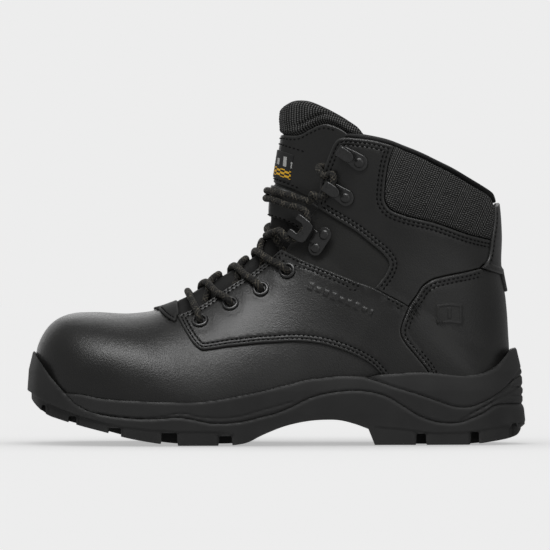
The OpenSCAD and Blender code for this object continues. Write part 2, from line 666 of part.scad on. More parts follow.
// ---------------------------------------------------------------- lace
// A point of a hook's own frame, as a point of the boot
function in_face(x, z, side, a, h, p) =
    let (
        f = find_at(x, z, side, face),
        n = normal(f[0], f[1], side),
        d = [cos(a), 0, sin(a)],
        ex = unit(d - (d * n) * n),
        ey = cross(n, ex)
    )
    base_at(f[0], f[1], side) + (h + p.z) * n + p.x * ex - side * p.y * ey;
lace_r = lace_d / 2;
on_top = face + lace_r + 0.3;
beneath = -lace_r - 1.1;
function edge_s(u) = lookup(u, [[7.9, 0.245], [8.7, 0.22], [9.1, 0.204], [9.65, 0.195], [11, 0.198]]);
function rest(u, s) = tongue_top(u, s) + lace_r + 0.7;
function eye(k, side) = find_at(EYELETS[k].x, EYELETS[k].y, side, face);
// From the outside of eyelet k + 1 over the tongue, and under the other facing to eyelet k
function crossing(k, side, at) =
    let (
        p = eye(k + 1, side),
        q = eye(k, -side),
        top = mix(q[0], p[0], at),
        u1 = mix(p[0], top, 0.2),
        u2 = mix(p[0], top, 0.5),
        u3 = mix(p[0], top, 0.82),
        u4 = mix(top, q[0], 0.3),
        u5 = mix(top, q[0], 0.55),
        u6 = mix(top, q[0], 0.8),
        e = edge_s(u6) - 0.045
    )
    concat(through(k + 1, side), [
        lifted(u1, mix(p[1], edge_s(u2), 0.45), side, on_top + 1.6),
        lifted(u2, edge_s(u2) - 0.01, side, on_top),
        lifted(u3, 0.085, side, on_top + 0.3),
        lifted(top, 0, side, rest(top, 0) + 0.5),
        lifted(u4, 0.05, -side, rest(u4, 0.05) + 1.3),
        lifted(u5, 0.1, -side, rest(u5, 0.1) + 1.3),
        lifted(u6, mix(0.1, e, 0.6), -side, rest(u6, mix(0.1, e, 0.6)) + 1.1),
        lifted(u6, e, -side, beneath + 0.3),
        lifted(q[0], mix(e, q[1], 0.6), -side, beneath)
    ]);
// The lace's way through an eyelet, from inside to outside
function through(k, side) =
    let (p = eye(k, side))
    [for (h = [beneath + 0.8, face * 0.5, on_top + 0.6]) lifted(p[0], p[1], side, h)];
function hook_run(side) = [
    for (p = [
        [-13, -9.6], [-6.6, -10.3], [-3.2, -7.6], [-2, -3.6], [-1.7, 0], [-2, 3.6], [-3.2, 7.6], [-6.6, 10.3],
        [-13, 9.6]
    ])
        in_face(lock_at.x, lock_at.y, side, lock_tilt, face + 0.3, [p.x, p.y, lace_r + 0.35])
];
speed = SPEED[1];
function speed_run(side) = [
    for (p = [
        [-19, -9.6, 2.2], [-14, -8.6, 2.6], [-11.4, -5, 3.2], [-10.8, -1.6, 3.2], [-10.8, 1.8, 3.2],
        [-11.8, 5.2, 3],
        [-15, 8.4, 2.6]
    ])
        in_face(speed[0], speed[1], side, speed[2], face + 0.5, p)
];
function tail(side) = [
    for (p = [
        [18.55, 0.285, 9.4], [18.72, 0.258, 7.2], [18.8, 0.247, 3.2], [18.84, 0.253, -0.6],
        [18.88, 0.275, -2.5],
        [18.95, 0.305, -2.6]
    ])
        lifted(p[0], p[1], side, p[2])
];
// From the inside of the top eyelet over the tongue to the other side's lock hook
function to_hook(side, top) =
    let (p = eye(3, side), e = edge_s(10.8) - 0.045, h = tongue_t + lace_r + 0.5)
    concat([
        lifted(p[0], mix(e, p[1], 0.6), side, beneath),
        lifted(10.8, e, side, beneath + 0.3),
        lifted(10.85, mix(0.1, e, 0.6), side, rest(10.85, mix(0.1, e, 0.6)) + 0.7),
        lifted(mix(10.9, top, 0.5), 0.07, side, rest(11, 0.07) + 0.6),
        lifted(top, 0, side, h),
        lifted(mix(top, 12.6, 0.45), 0.08, -side, h + 0.6),
        lifted(mix(top, 12.6, 0.8), 0.14, -side, h + 0.4)
    ]);
// From a lock hook over the tongue to the other side's speed hook
function to_speed(side, top) =
    let (h = tongue_t * 1.18 + lace_r + 0.5)
    [
        lifted(mix(15.9, top, 0.3), 0.17, side, h),
        lifted(mix(15.9, top, 0.7), 0.08, side, h + 0.1),
        lifted(top, 0, side, h + 0.1),
        lifted(mix(top, 16.4, 0.35), 0.08, -side, h + 0.1),
        lifted(mix(top, 16.6, 0.8), 0.18, -side, h),
        lifted(16.8, 0.25, -side, on_top)
    ];
function lace_way() = concat(
    backwards(tail(-1)), backwards(speed_run(-1)), backwards(to_speed(1, 15.85)), backwards(hook_run(1)),
    backwards(to_hook(-1, 11.8)),
    crossing(2, -1, 0.45), crossing(1, 1, 0.92), crossing(0, -1, 0.45), through(0, 1),
    [
        let (p = eye(0, 1)) lifted(p[0] - 0.02, mix(p[1], 0.245, 0.5), 1, on_top + 1.4),
        lifted(7.97, 0.13, 1, on_top + 0.2),
        lifted(7.95, 0, 1, rest(7.95, 0) + 0.3),
        lifted(7.97, 0.13, -1, on_top + 0.2),
        let (p = eye(0, -1)) lifted(p[0] - 0.02, mix(p[1], 0.245, 0.5), -1, on_top + 1.4)
    ],
    backwards(through(0, -1)), backwards(crossing(0, 1, 0.92)), backwards(crossing(1, -1, 0.45)),
    backwards(crossing(2, 1, 0.92)), to_hook(1, 10.87), hook_run(-1), to_speed(-1, 15.3),
    speed_run(1), tail(1)
);
// Frames carried along the way without twist
function carry(dirs, i, side) =
    i == len(dirs) ? []
        : let (n = unit(side - (side * dirs[i]) * dirs[i])) concat([n], carry(dirs, i + 1, n));
module cord(way, r, sides) {
    m = len(way);
    dirs = [for (i = [0 : m - 1]) unit(unit(way[min(i + 1, m - 1)] - way[max(i, 0)] + [0, 0, 1e-6])
        + unit(way[min(i, m - 1)] - way[max(i - 1, 0)] + [0, 0, 1e-6]))];
    ns = carry(dirs, 0, [0.1, 0.2, 1]);
    stack([
        for (i = [0 : m - 1])
            [
                for (k = [0 : sides - 1])
                    let (a = -360 * k / sides)
                    way[i] + r * (cos(a) * ns[i] + sin(a) * cross(dirs[i], ns[i]))
            ]
    ]);
}
module lace() {
    color([0.12, 0.115, 0.1]) cord(lace_way(), lace_r, 8);
}

outsole();
midsole();
heel_stabiliser();
shank();
insole_board();
footbed_foam();
footbed_cover();
steel_toe_cap();
heel_counter();
lining();
vamp();
ankle_panel_lateral();
ankle_panel_medial();
quarter_lateral();
quarter_medial();
shaft_panel_lateral();
shaft_panel_medial();
heel_panel();
backstay();
collar_foam();
collar_mesh();
collar_binding();
throat_tab();
tongue_lower_leather();
tongue_lower_padding();
tongue_band();
tongue_upper_leather();
tongue_upper_padding();
tongue_top_roll();
tongue_label();
eyelets_lateral();
eyelets_medial();
lock_hook_lateral();
lock_hook_medial();
speed_hooks_lateral();
speed_hooks_medial();
hook_rivets_lateral();
hook_rivets_medial();
lace();
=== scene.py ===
import math

import bmesh
import bpy
import numpy as np
from mathutils import Matrix, Vector, noise
from mathutils.geometry import delaunay_2d_cdt


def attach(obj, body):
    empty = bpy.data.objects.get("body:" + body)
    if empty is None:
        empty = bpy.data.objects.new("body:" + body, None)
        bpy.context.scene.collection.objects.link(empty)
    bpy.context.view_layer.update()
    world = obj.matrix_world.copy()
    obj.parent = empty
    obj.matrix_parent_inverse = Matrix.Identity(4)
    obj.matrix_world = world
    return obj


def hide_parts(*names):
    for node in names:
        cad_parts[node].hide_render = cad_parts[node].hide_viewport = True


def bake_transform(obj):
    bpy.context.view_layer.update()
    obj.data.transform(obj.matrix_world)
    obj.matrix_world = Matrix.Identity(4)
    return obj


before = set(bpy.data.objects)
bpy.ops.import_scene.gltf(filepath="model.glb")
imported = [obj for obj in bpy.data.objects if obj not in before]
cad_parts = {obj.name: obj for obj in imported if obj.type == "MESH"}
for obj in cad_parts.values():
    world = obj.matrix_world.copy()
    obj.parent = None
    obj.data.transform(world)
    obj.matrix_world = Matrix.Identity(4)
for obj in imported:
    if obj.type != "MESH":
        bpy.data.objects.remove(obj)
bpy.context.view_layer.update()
scene = bpy.context.scene

# ---------------------------------------------------------------- camera, light, floor
WIDTH_MM = 344.3
DIST = 8.0
ELEV = math.radians(1.1)
target = Vector((-0.0002, 0.0, 0.1052))
cam_data = bpy.data.cameras.new("camera")
cam_data.sensor_width = 36
cam_data.lens = 36 * DIST / (WIDTH_MM / 1000)
cam_data.clip_end = 30
cam = bpy.data.objects.new("camera", cam_data)
scene.collection.objects.link(cam)
cam.location = target + Vector((0, -DIST * math.cos(ELEV), DIST * math.sin(ELEV)))
cam.rotation_euler = (target - cam.location).to_track_quat("-Z", "Y").to_euler()
scene.camera = cam
scene.view_settings.view_transform = "Standard"

world = bpy.data.worlds.new("studio")
scene.world = world
world.use_nodes = True
PALE = 0.847
SKY = 0.24
wt = world.node_tree
seen = wt.nodes.new("ShaderNodeLightPath")
pick = wt.nodes.new("ShaderNodeMapRange")
pick.inputs["To Min"].default_value = SKY
pick.inputs["To Max"].default_value = PALE
wt.links.new(seen.outputs["Is Camera Ray"], pick.inputs["Value"])
wt.nodes["Background"].inputs[0].default_value = (1, 1, 1, 1)
wt.links.new(pick.outputs["Result"], wt.nodes["Background"].inputs[1])


def area_light(name, loc, size, power, aim=(0, 0, 0.08), size_y=None):
    d = bpy.data.lights.new(name, "AREA")
    d.energy = power
    d.size = size
    if size_y:
        d.shape = "RECTANGLE"
        d.size_y = size_y
    o = bpy.data.objects.new(name, d)
    o.location = loc
    o.rotation_euler = (Vector(aim) - Vector(loc)).to_track_quat("-Z", "Y").to_euler()
    scene.collection.objects.link(o)
    return o


LIGHTS = [
    area_light("toe_key", (-0.6, -0.85, 1.25), 0.5, 1.2),
    area_light("side_key", (-0.12, -0.75, 1.3), 0.9, 12, size_y=0.5),
    area_light("fill_light", (1.0, -1.5, 0.5), 1.4, 3.1), area_light("back_light", (0.2, 1.5, 1.3), 1.6, 7.5),
    area_light("far_light", (-0.5, 1.6, 0.45), 1.2, 3.5)]


# ---------------------------------------------------------------- materials
class Value:
    """A number made by nodes. Sums, products and comparisons of it add the nodes they need."""

    def __init__(self, nt, socket):
        self.nt, self.socket = nt, socket

    def op(self, kind, *others):
        n = self.nt.nodes.new("ShaderNodeMath")
        n.operation = kind
        for i, v in enumerate((self, *others)):
            if isinstance(v, Value):
                self.nt.links.new(v.socket, n.inputs[i])
            else:
                n.inputs[i].default_value = v
        return Value(self.nt, n.outputs[0])

    def __add__(self, v):
        return self.op("ADD", v)

    def __mul__(self, v):
        return self.op("MULTIPLY", v)

    def over(self, v):
        return self.op("GREATER_THAN", v)

    def under(self, v):
        return self.op("LESS_THAN", v)

    def cycle(self, v):
        return (self * v).op("FRACT")

    def carry(self, a, b, c, d):
        """The range a to b carried to c to d."""
        n = self.nt.nodes.new("ShaderNodeMapRange")
        for key, v in zip(("From Min", "From Max", "To Min", "To Max"), (a, b, c, d)):
            n.inputs[key].default_value = v
        self.nt.links.new(self.socket, n.inputs["Value"])
        return Value(self.nt, n.outputs["Result"])


class Look:
    """The nodes of one material. Textures are laid in mm of the piece's own space."""

    def __init__(self, nt):
        self.nt, self.shader = nt, nt.nodes["Principled BSDF"]
        where = self.add("ShaderNodeTexCoord")
        mm = self.add("ShaderNodeMapping", Scale=(1000, 1000, 1000))
        nt.links.new(where.outputs["Object"], mm.inputs["Vector"])
        self.mm = mm.outputs["Vector"]

    def add(self, kind, **props):
        n = self.nt.nodes.new(kind)
        for key, v in props.items():
            if key in n.inputs.keys():
                n.inputs[key].default_value = v
            else:
                setattr(n, key, v)
        return n

    def texture(self, kind, output="Fac", **props):
        n = self.add("ShaderNodeTex" + kind, **props)
        self.nt.links.new(self.mm, n.inputs["Vector"])
        return Value(self.nt, n.outputs[output])

    def noise(self, scale, detail, **props):
        return self.texture("Noise", Scale=scale, Detail=detail, **props)

    def stored(self, name):
        """A number kept at the mesh's points."""
        return Value(self.nt, self.add("ShaderNodeAttribute", attribute_name=name).outputs["Fac"])

    def ramp(self, value, stops):
        n = self.add("ShaderNodeValToRGB")
        for e, (at_, colour) in zip(n.color_ramp.elements, (stops[0], stops[-1])):
            e.position, e.color = at_, (*colour, 1)
        for at_, colour in stops[1:-1]:
            n.color_ramp.elements.new(at_).color = (*colour, 1)
        self.nt.links.new(value.socket, n.inputs["Fac"])
        return n.outputs["Color"]

    def over_colour(self, value, under, colour):
        """colour laid over the colour under, by value."""
        n = self.add("ShaderNodeMix", data_type="RGBA")
        n.inputs["B"].default_value = (*colour, 1)
        self.nt.links.new(value.socket, n.inputs["Factor"])
        if isinstance(under, tuple):
            n.inputs["A"].default_value = (*under, 1)
        else:
            self.nt.links.new(under, n.inputs["A"])
        return n.outputs["Result"]

    def colour(self, socket):
        self.nt.links.new(socket, self.shader.inputs["Base Color"])

    def rough(self, value, r0, r1, a=0.3, b=0.7):
        self.nt.links.new(value.carry(a, b, r0, r1).socket, self.shader.inputs["Roughness"])

    def bump(self, height, dist, strength=0.5):
        n = self.add("ShaderNodeBump", Distance=dist, Strength=strength)
        self.nt.links.new(height.socket, n.inputs["Height"])
        self.nt.links.new(n.outputs["Normal"], self.shader.inputs["Normal"])


def grey(v):
    return (v, v, v)


def material(name, color, rough, build, metallic=0.0, spec=0.5, coat=0.0, coat_rough=0.1, sheen=0.0):
    m = bpy.data.materials.new(name)
    m.use_nodes = True
    b = m.node_tree.nodes["Principled BSDF"]
    for key, v in (
            ("Base Color", (*color, 1)), ("Roughness", rough), ("Metallic", metallic),
            ("Specular IOR Level", spec), ("Coat Weight", coat), ("Coat Roughness", coat_rough),
            ("Sheen Weight", sheen), ("Sheen Roughness", 0.6)):
        b.inputs[key].default_value = v
    build(Look(m.node_tree))
    return m


def leather_nodes(dark, light, grain, r0, r1):
    def build(k):
        big, fine = k.noise(0.035, 3.0), k.noise(1.6, 4.0, Roughness=0.6)
        cells = k.texture("Voronoi", "Distance", Scale=0.95)
        creases = k.noise(0.32, 6.0, Roughness=0.7, Distortion=0.6)
        base = k.ramp(big * 0.7 + fine * 0.3, [(0.3, dark), (0.75, light)])
        # Panel rims painted lighter: partly edge wear, partly a painted highlight along the rounded edges.
        worn_and_highlit_rim = k.over_colour(k.stored("edge") * (fine + 0.2), base, (0.05, 0.05, 0.049))
        # Bands along the stitch rows painted near black: painted shade in the stitch grooves.
        k.colour(k.over_colour(k.stored("groove_shade") * 0.25, worn_and_highlit_rim, grey(0.002)))
        k.rough(fine * 0.5 + big * 0.5, r0, r1)
        k.bump(cells * 0.55 + fine * 0.6 + creases * 1.1, grain, 0.85)
    return build


leather = material("leather", (0.02, 0.02, 0.021), 0.42,
                   leather_nodes((0.0085, 0.0085, 0.0082), (0.0155, 0.0155, 0.0148), 0.00014, 0.3, 0.46))
nubuck = material("nubuck", (0.022, 0.022, 0.022), 0.75,
                  leather_nodes((0.013, 0.013, 0.0124), (0.022, 0.022, 0.0208), 0.00012, 0.62, 0.8),
                  spec=0.3, sheen=0.03)
dull_leather = material("dull_leather", (0.01, 0.01, 0.01), 0.7,
                        leather_nodes((0.0045, 0.0045, 0.0043), (0.009, 0.009, 0.0086), 0.00016, 0.55, 0.75),
                        spec=0.3)


def rubber_nodes(k):
    fine, big = k.noise(2.2, 5.0, Roughness=0.65), k.noise(0.04, 2.0)
    # Convex rims of the sole painted lighter from the mesh's pointiness: a painted highlight.
    convex_rim_highlight = Value(k.nt, k.add("ShaderNodeNewGeometry").outputs["Pointiness"])
    m = fine * 0.4 + big * 0.5 + convex_rim_highlight.carry(0.5, 0.6, 0.0, 0.5)
    k.colour(k.ramp(m, [(0.3, grey(0.015)), (0.9, (0.036, 0.036, 0.0355))]))
    k.rough(fine, 0.5, 0.66)
    k.bump(fine, 0.00012, 0.6)


def metal_nodes(k):
    n = k.noise(0.9, 3.0)
    k.colour(k.ramp(n, [(0.35, grey(0.008)), (0.7, grey(0.017))]))
    k.rough(n, 0.26, 0.36)


def cloth_nodes(scale, dark, light, dist):
    def build(k):
        n = k.noise(scale, 3.0)
        k.colour(k.ramp(n, [(0.25, dark), (0.8, light)]))
        k.rough(n, 0.75, 0.92)
        k.bump(k.texture("Voronoi", "Distance", Scale=scale * 0.9), dist, 0.6)
    return build


def knit_nodes(k):
    """Ribs with small holes between the threads, laid by two coordinates stored on the mesh. The colour follows
    the relief: thread crowns painted light as a painted highlight, the holes between painted near black as
    painted shade.
    """
    def wave(name, pitch):
        return (k.stored(name) * (2 * math.pi / pitch)).op("COSINE") * 0.5 + 0.5
    rib, strand = wave("knit_b", 1.55), wave("knit_a", 1.5)
    fac = rib * (strand * 0.75 + 0.25)
    # Colour from the relief: painted highlight on the crowns, painted shade in the hollows.
    relief_light_and_shade = fac * k.noise(0.5, 3.0).carry(0.3, 0.7, 0.75, 1.0)
    k.colour(k.ramp(relief_light_and_shade, [(0.05, grey(0.001)), (0.85, (0.13, 0.13, 0.127))]))
    k.rough(fac, 0.95, 0.72, 0.0, 1.0)
    k.bump(fac, 0.0003, 0.7)


def lace_nodes(k):
    # Pale flecks on some strand crowns, and the hollows between the strands painted darker than the crowns:
    # painted shade.
    fac = k.stored("fleck_and_strand_shade") * k.noise(0.6, 2.0).carry(0.38, 0.6, 0.45, 1.0)
    k.colour(k.ramp(fac, [(0.0, (0.003, 0.0029, 0.0026)), (0.25, (0.02, 0.019, 0.0165)),
                          (1.0, (0.16, 0.14, 0.105))]))
    k.bump(k.noise(4.0, 2.0), 0.0001)


def label_nodes(k):
    """Dark woven ground, pale bars above, yellow and black chequers below."""
    along, across = k.stored("along"), k.stored("across")
    high = along.under(0.74).op("MAXIMUM", across.cycle(1.15).over(0.5))
    bars = along.over(0.52) * along.under(0.86) * across.cycle(2.3).over(0.55) * high
    chequers = across.cycle(2.0).over(0.5).op("SUBTRACT", along.cycle(6.6).over(0.5)).op("ABSOLUTE")
    pale = k.over_colour(bars, grey(0.012), (0.4, 0.4, 0.39))
    k.colour(k.over_colour(along.over(0.12) * along.under(0.42) * chequers, pale, (0.75, 0.42, 0.02)))
    k.bump(k.texture("Wave", Scale=1.4, bands_direction="Z"), 0.00006)


def steel_nodes(k):
    fine = k.noise(5.0, 2.0)
    k.colour(k.ramp(k.noise(0.5, 4.0), [(0.3, (0.22, 0.22, 0.23)), (0.7, (0.4, 0.4, 0.41))]))
    k.rough(fine, 0.32, 0.5)
    k.bump(fine, 0.00004)


def board_nodes(k):
    n = k.noise(0.9, 5.0, Roughness=0.7)
    m = n * 0.8 + k.texture("Wave", Scale=0.35, Distortion=4.0) * 0.2
    k.colour(k.ramp(m, [(0.3, (0.36, 0.29, 0.2)), (0.75, (0.55, 0.47, 0.35))]))
    k.bump(n, 0.0001)


rubber = material("sole_rubber", grey(0.02), 0.55, rubber_nodes, spec=0.45)
black_metal = material("black_metal", (0.012, 0.012, 0.013), 0.2, metal_nodes,
                       spec=0.6, coat=0.3, coat_rough=0.2)
mesh_cloth = material("mesh_cloth", grey(0.02), 0.85, knit_nodes, spec=0.2, sheen=0.03)
lining_cloth = material("lining_cloth", grey(0.02), 0.9, cloth_nodes(1.3, grey(0.007), grey(0.018), 0.00012),
                        spec=0.25, sheen=0.06)
thread = material("thread", grey(0.02), 0.6, cloth_nodes(2.5, grey(0.002), grey(0.006), 0.00005), spec=0.15)
foam_mat = material("foam", (0.05, 0.05, 0.055), 0.95,
                    cloth_nodes(0.8, (0.04, 0.04, 0.043), (0.07, 0.07, 0.075), 0.0002), spec=0.2)
lace_cord = material("lace_cord", (0.03, 0.028, 0.022), 0.75, lace_nodes, spec=0.3, sheen=0.06)
label_cloth = material("label_cloth", grey(0.3), 0.8, label_nodes, spec=0.3, sheen=0.1)
steel = material("plain_steel", (0.35, 0.35, 0.36), 0.4, steel_nodes, metallic=1.0)
board = material("board", (0.5, 0.42, 0.3), 0.85, board_nodes, spec=0.25)
counter_board = material("counter_board", grey(0.02), 0.8,
                         cloth_nodes(0.9, (0.012, 0.012, 0.011), (0.028, 0.027, 0.025), 0.0001), spec=0.25)


# ---------------------------------------------------------------- the boot's base skin, in mm
RINGS = np.array([
    [-142.5, 44.0, -141.0, 28.0, 10, 10, 1.0, 10, 12, 15.0, 6.0, 0.10],
    [-144.8, 54.0, -137.5, 27.0, 26, 25, 21.0, 26, 27, 31.0, 5.5, 0.10],
    [-142.5, 63.0, -131.0, 26.3, 36, 34, 29.0, 36, 36, 36.5, 5.0, 0.10],
    [-136.5, 71.5, -122.5, 25.5, 46, 43, 35.5, 45, 42, 39.5, 4.4, 0.10],
    [-127.0, 76.0, -112.5, 24.4, 53, 49, 40.5, 50, 46, 41.5, 3.6, 0.10],
    [-112.0, 77.0, -98.0, 23.0, 56, 53, 44.5, 52, 50, 42.5, 2.4, 0.10],
    [-91.0, 76.2, -80.0, 21.8, 54, 57, 47.2, 51, 54, 45.2, 1.2, 0.10],
    [-71.0, 79.2, -62.0, 21.0, 43, 59, 48.8, 42, 56, 45.8, 0.4, 0.10],
    [-50.0, 87.5, -40.0, 21.2, 31, 60, 47.0, 30, 57, 42.2, 0.0, 0.10],
    [-27.0, 100.0, -10.0, 26.0, 26, 56, 42.0, 25, 51, 32.0, 0.0, 0.10],
    [-8.0, 112.0, 24.0, 34.0, 25, 48, 35.5, 25, 44, 26.5, 0.0, 0.08],
    [2.6, 127.5, 62.0, 37.5, 28, 41, 31.0, 28, 40, 26.5, 0.0, 0.06],
    [3.2, 136.0, 98.0, 37.3, 31, 40, 29.0, 31, 39, 27.5, 0.0, 0.05],
    [3.2, 142.0, 124.0, 37.3, 33, 42, 23.5, 33, 41, 23.0, 0.0, 0.03],
    [3.2, 146.0, 134.5, 39.5, 34, 46, 12.0, 34, 45, 12.0, 0.0, 0.01],
    [3.4, 150.0, 138.8, 50.0, 35, 48, 0.0, 35, 48, 0.0, 0.0, 0.00],
    [4.4, 158.0, 138.2, 70.0, 36, 47, 0.0, 36, 47, 0.0, 0.0, 0.00],
    [5.6, 166.0, 136.6, 90.0, 37, 46, 0.0, 37, 46, 0.0, 0.0, 0.00],
    [7.0, 175.0, 133.2, 110.0, 38, 47, 0.0, 38, 47, 0.0, 0.0, 0.00],
    [8.6, 185.0, 133.4, 130.0, 40, 50, 0.0, 40, 50, 0.0, 0.0, 0.00],
    [9.8, 194.0, 132.2, 148.0, 41, 52, 0.0, 41, 52, 0.0, 0.0, 0.00],
    [10.6, 203.0, 130.0, 164.0, 42, 53, 0.0, 42, 53, 0.0, 0.0, 0.00],
    [11.4, 212.0, 127.0, 180.0, 42, 53, 0.0, 42, 53, 0.0, 0.0, 0.00],
], float)
RINGS = np.concatenate([RINGS, 2 * RINGS[-1:] - RINGS[-2:-1]])
LAST = len(RINGS) - 1


def fade(v, a, b):
    t = np.clip((v - a) / (b - a), 0, 1)
    return t * t * (3 - 2 * t)


def rings(u):
    u = np.clip(np.asarray(u, float), 0, LAST)
    i = np.clip(np.floor(u).astype(int), 0, LAST - 1)
    t = (u - i)[:, None]
    a, b, c, d = (RINGS[np.clip(i + k, 0, LAST)] for k in (-1, 0, 1, 2))
    square, cube = 2 * a - 5 * b + 4 * c - d, 3 * b - a - 3 * c + d
    return 0.5 * (2 * b + (c - a) * t + square * t * t + cube * t ** 3)


def bez(s, a, b, c):
    return 3 * (1 - s) ** 2 * s * a + 3 * (1 - s) * s * s * b + s ** 3 * c


def skin(u, q):
    """q: 0 on the top line, 1 at the foot or heel line of the inner side, -1 or past 1 on the outer side."""
    u, q = np.broadcast_arrays(np.atleast_1d(np.asarray(u, float)), np.atleast_1d(np.asarray(q, float)))
    far = q > 1
    s = np.where(far, 2 - q, np.abs(q))
    side = np.where(far | (q < 0), -1.0, 1.0)
    s = np.clip(s, 0, 1)
    r = rings(u)
    lat = side < 0
    w = bez(s, np.where(lat, r[:, 4], r[:, 7]), np.where(lat, r[:, 5], r[:, 8]),
            np.maximum(np.where(lat, r[:, 6], r[:, 9]), 0))
    t = bez(s, 0, 1 - r[:, 11], 1)
    return np.stack([r[:, 0] + (r[:, 2] - r[:, 0]) * t, r[:, 10] * (1 - s ** 3) + side * np.maximum(w, 0),
                     r[:, 1] + (r[:, 3] - r[:, 1]) * t], 1)


def unit(v):
    return v / np.maximum(np.linalg.norm(v, axis=-1, keepdims=True), 1e-9)


def normals(u, q, du=0.05, dq=0.012):
    u, q = np.broadcast_arrays(np.atleast_1d(np.asarray(u, float)), np.atleast_1d(np.asarray(q, float)))
    a, b = q - dq, q + dq
    foot = u < 15
    b = np.where(foot & (q <= 1) & (b > 1), 1, b)
    a = np.where(foot & (q > 1) & (a < 1), 1, a)
    a = np.maximum(a, -1)
    along = skin(np.minimum(u + du, LAST), q) - skin(np.maximum(u - du, 0), q)
    return unit(np.cross(along, skin(u, b) - skin(u, a)))


def lifted(u, q, h):
    """Places on the skin, raised by h along its normals."""
    h = np.asarray(h, float)
    return skin(u, q) + (h[:, None] if h.ndim else h) * normals(u, q)


def find(x, z):
    """The ring u, and how far round it from the top line, that show at (x, z) from the side."""
    x, z = np.atleast_1d(np.asarray(x, float)), np.atleast_1d(np.asarray(z, float))
    a, b = np.zeros_like(x), np.full_like(x, LAST)
    for _ in range(20):
        m = (a + b) / 2
        r = rings(m)
        up = (r[:, 2] - r[:, 0]) * (z - r[:, 1]) - (r[:, 3] - r[:, 1]) * (x - r[:, 0]) > 0
        a, b = np.where(up, m, a), np.where(up, b, m)
    u = (a + b) / 2
    r = rings(u)
    run = np.stack([r[:, 2] - r[:, 0], r[:, 3] - r[:, 1]], 1)
    t = np.clip(((x - r[:, 0]) * run[:, 0] + (z - r[:, 1]) * run[:, 1]) / (run ** 2).sum(1), 0, 1)
    a, b = np.zeros_like(x), np.ones_like(x)
    for _ in range(20):
        m = (a + b) / 2
        low = bez(m, 0, 1 - r[:, 11], 1) < t
        a, b = np.where(low, m, a), np.where(low, b, m)
    return u, (a + b) / 2


def find_at(x, z, side, h):
    """The place on the skin of one side whose lifted point shows at (x, z) from the side."""
    x, z = np.atleast_1d(np.asarray(x, float)), np.atleast_1d(np.asarray(z, float))
    dx, dz = np.zeros_like(x), np.zeros_like(z)
    for _ in range(3):
        u, s = find(x - dx, z - dz)
        d = h * normals(u, side * s)
        dx, dz = d[:, 0], d[:, 2]
    return u, s


# A nearly true-length map of the skin, for meshing
MAP_U, MAP_Q = 220, 300
_tu = np.linspace(0, LAST, MAP_U + 1)
_tq = np.linspace(-1, 2, MAP_Q + 1)
_grid = skin(np.repeat(_tu, len(_tq)), np.tile(_tq, len(_tu))).reshape(len(_tu), len(_tq), 3)
_steps = np.linalg.norm(np.diff(_grid, axis=1), axis=2)
_arc = np.concatenate([np.zeros((len(_tu), 1)), np.cumsum(_steps, 1)], 1)
_mid = np.abs(_tq) < 0.75
_run = np.concatenate([[0], np.cumsum(np.linalg.norm(np.diff(_grid[:, _mid], axis=0), axis=2).mean(1))])


def flat(u, q, q0):
    """(along, across) in mm, across counted from the line q0."""
    i = np.clip(np.asarray(u) / LAST * MAP_U, 0, MAP_U - 0.001)
    k = i.astype(int)
    f = i - k

    def arc(qq):
        j = np.clip((np.asarray(qq) + 1) / 3 * MAP_Q, 0, MAP_Q - 0.001)
        m = j.astype(int)
        g = j - m
        a = _arc[k, m] * (1 - g) + _arc[k, m + 1] * g
        b = _arc[k + 1, m] * (1 - g) + _arc[k + 1, m + 1] * g
        return a * (1 - f) + b * f
    return np.interp(u, _tu, _run), arc(q) - arc(np.full_like(np.asarray(u, float), q0))


def smooth(points, step=1.0):
    """Catmull-Rom through side-view points, resampled."""
    p = np.array(points, float)
    if len(p) < 3:
        n = max(2, int(np.linalg.norm(p[-1] - p[0]) / step) + 1)
        return p[0] + (p[-1] - p[0]) * np.linspace(0, 1, n)[:, None]
    e = np.concatenate([[2 * p[0] - p[1]], p, [2 * p[-1] - p[-2]]])
    out = []
    for i in range(len(p) - 1):
        a, b, c, d = e[i:i + 4]
        la, lb, lc = (max(np.linalg.norm(v), 1e-6) ** 0.5 for v in (b - a, c - b, d - c))
        m1 = (c - b) + lb * ((b - a) / la - (c - a) / (la + lb))
        m2 = (c - b) + lb * ((d - c) / lc - (d - b) / (lb + lc))
        n = max(2, int(np.linalg.norm(c - b) / step) + 1)
        t = np.linspace(0, 1, n, endpoint=False)[:, None]
        out.append((2 * t ** 3 - 3 * t ** 2 + 1) * b + (t ** 3 - 2 * t ** 2 + t) * m1
                   + (-2 * t ** 3 + 3 * t ** 2) * c + (t ** 3 - t ** 2) * m2)
    out.append(p[-1:])
    return np.concatenate(out)


def even(points, step):
    """Points spaced evenly along a polyline, ends kept."""
    d = travelled(points)
    n = max(2, int(round(d[-1] / step)) + 1)
    t = np.linspace(0, d[-1], n)
    return np.stack([np.interp(t, d, points[:, k]) for k in range(points.shape[1])], 1)


def relaxed(P, times):
    """A polyline eased towards its neighbours, ends kept."""
    for _ in range(times):
        P[1:-1] = (P[:-2] + 2 * P[1:-1] + P[2:]) / 4
    return P


def relaxed_loop(P):
    return (np.roll(P, 1, 0) + 2 * P + np.roll(P, -1, 0)) / 4


def round_off(d, r):
    """How far a rounded rim of radius r falls at distance d from it."""
    return r * (1 - np.sqrt(np.clip(1 - (1 - np.clip(d / r, 0, 1)) ** 2, 0, 1)))


def squared(v, power):
    """A cosine or sine bent towards a squarer outline."""
    return np.sign(v) * np.abs(v) ** power


def near(points, edge):
    """Distance from each point to the nearest of the edge points."""
    out = np.empty(len(points))
    for i in range(0, len(points), 2000):
        out[i:i + 2000] = np.sqrt(((points[i:i + 2000, None, :] - edge[None]) ** 2).sum(2).min(1))
    return out


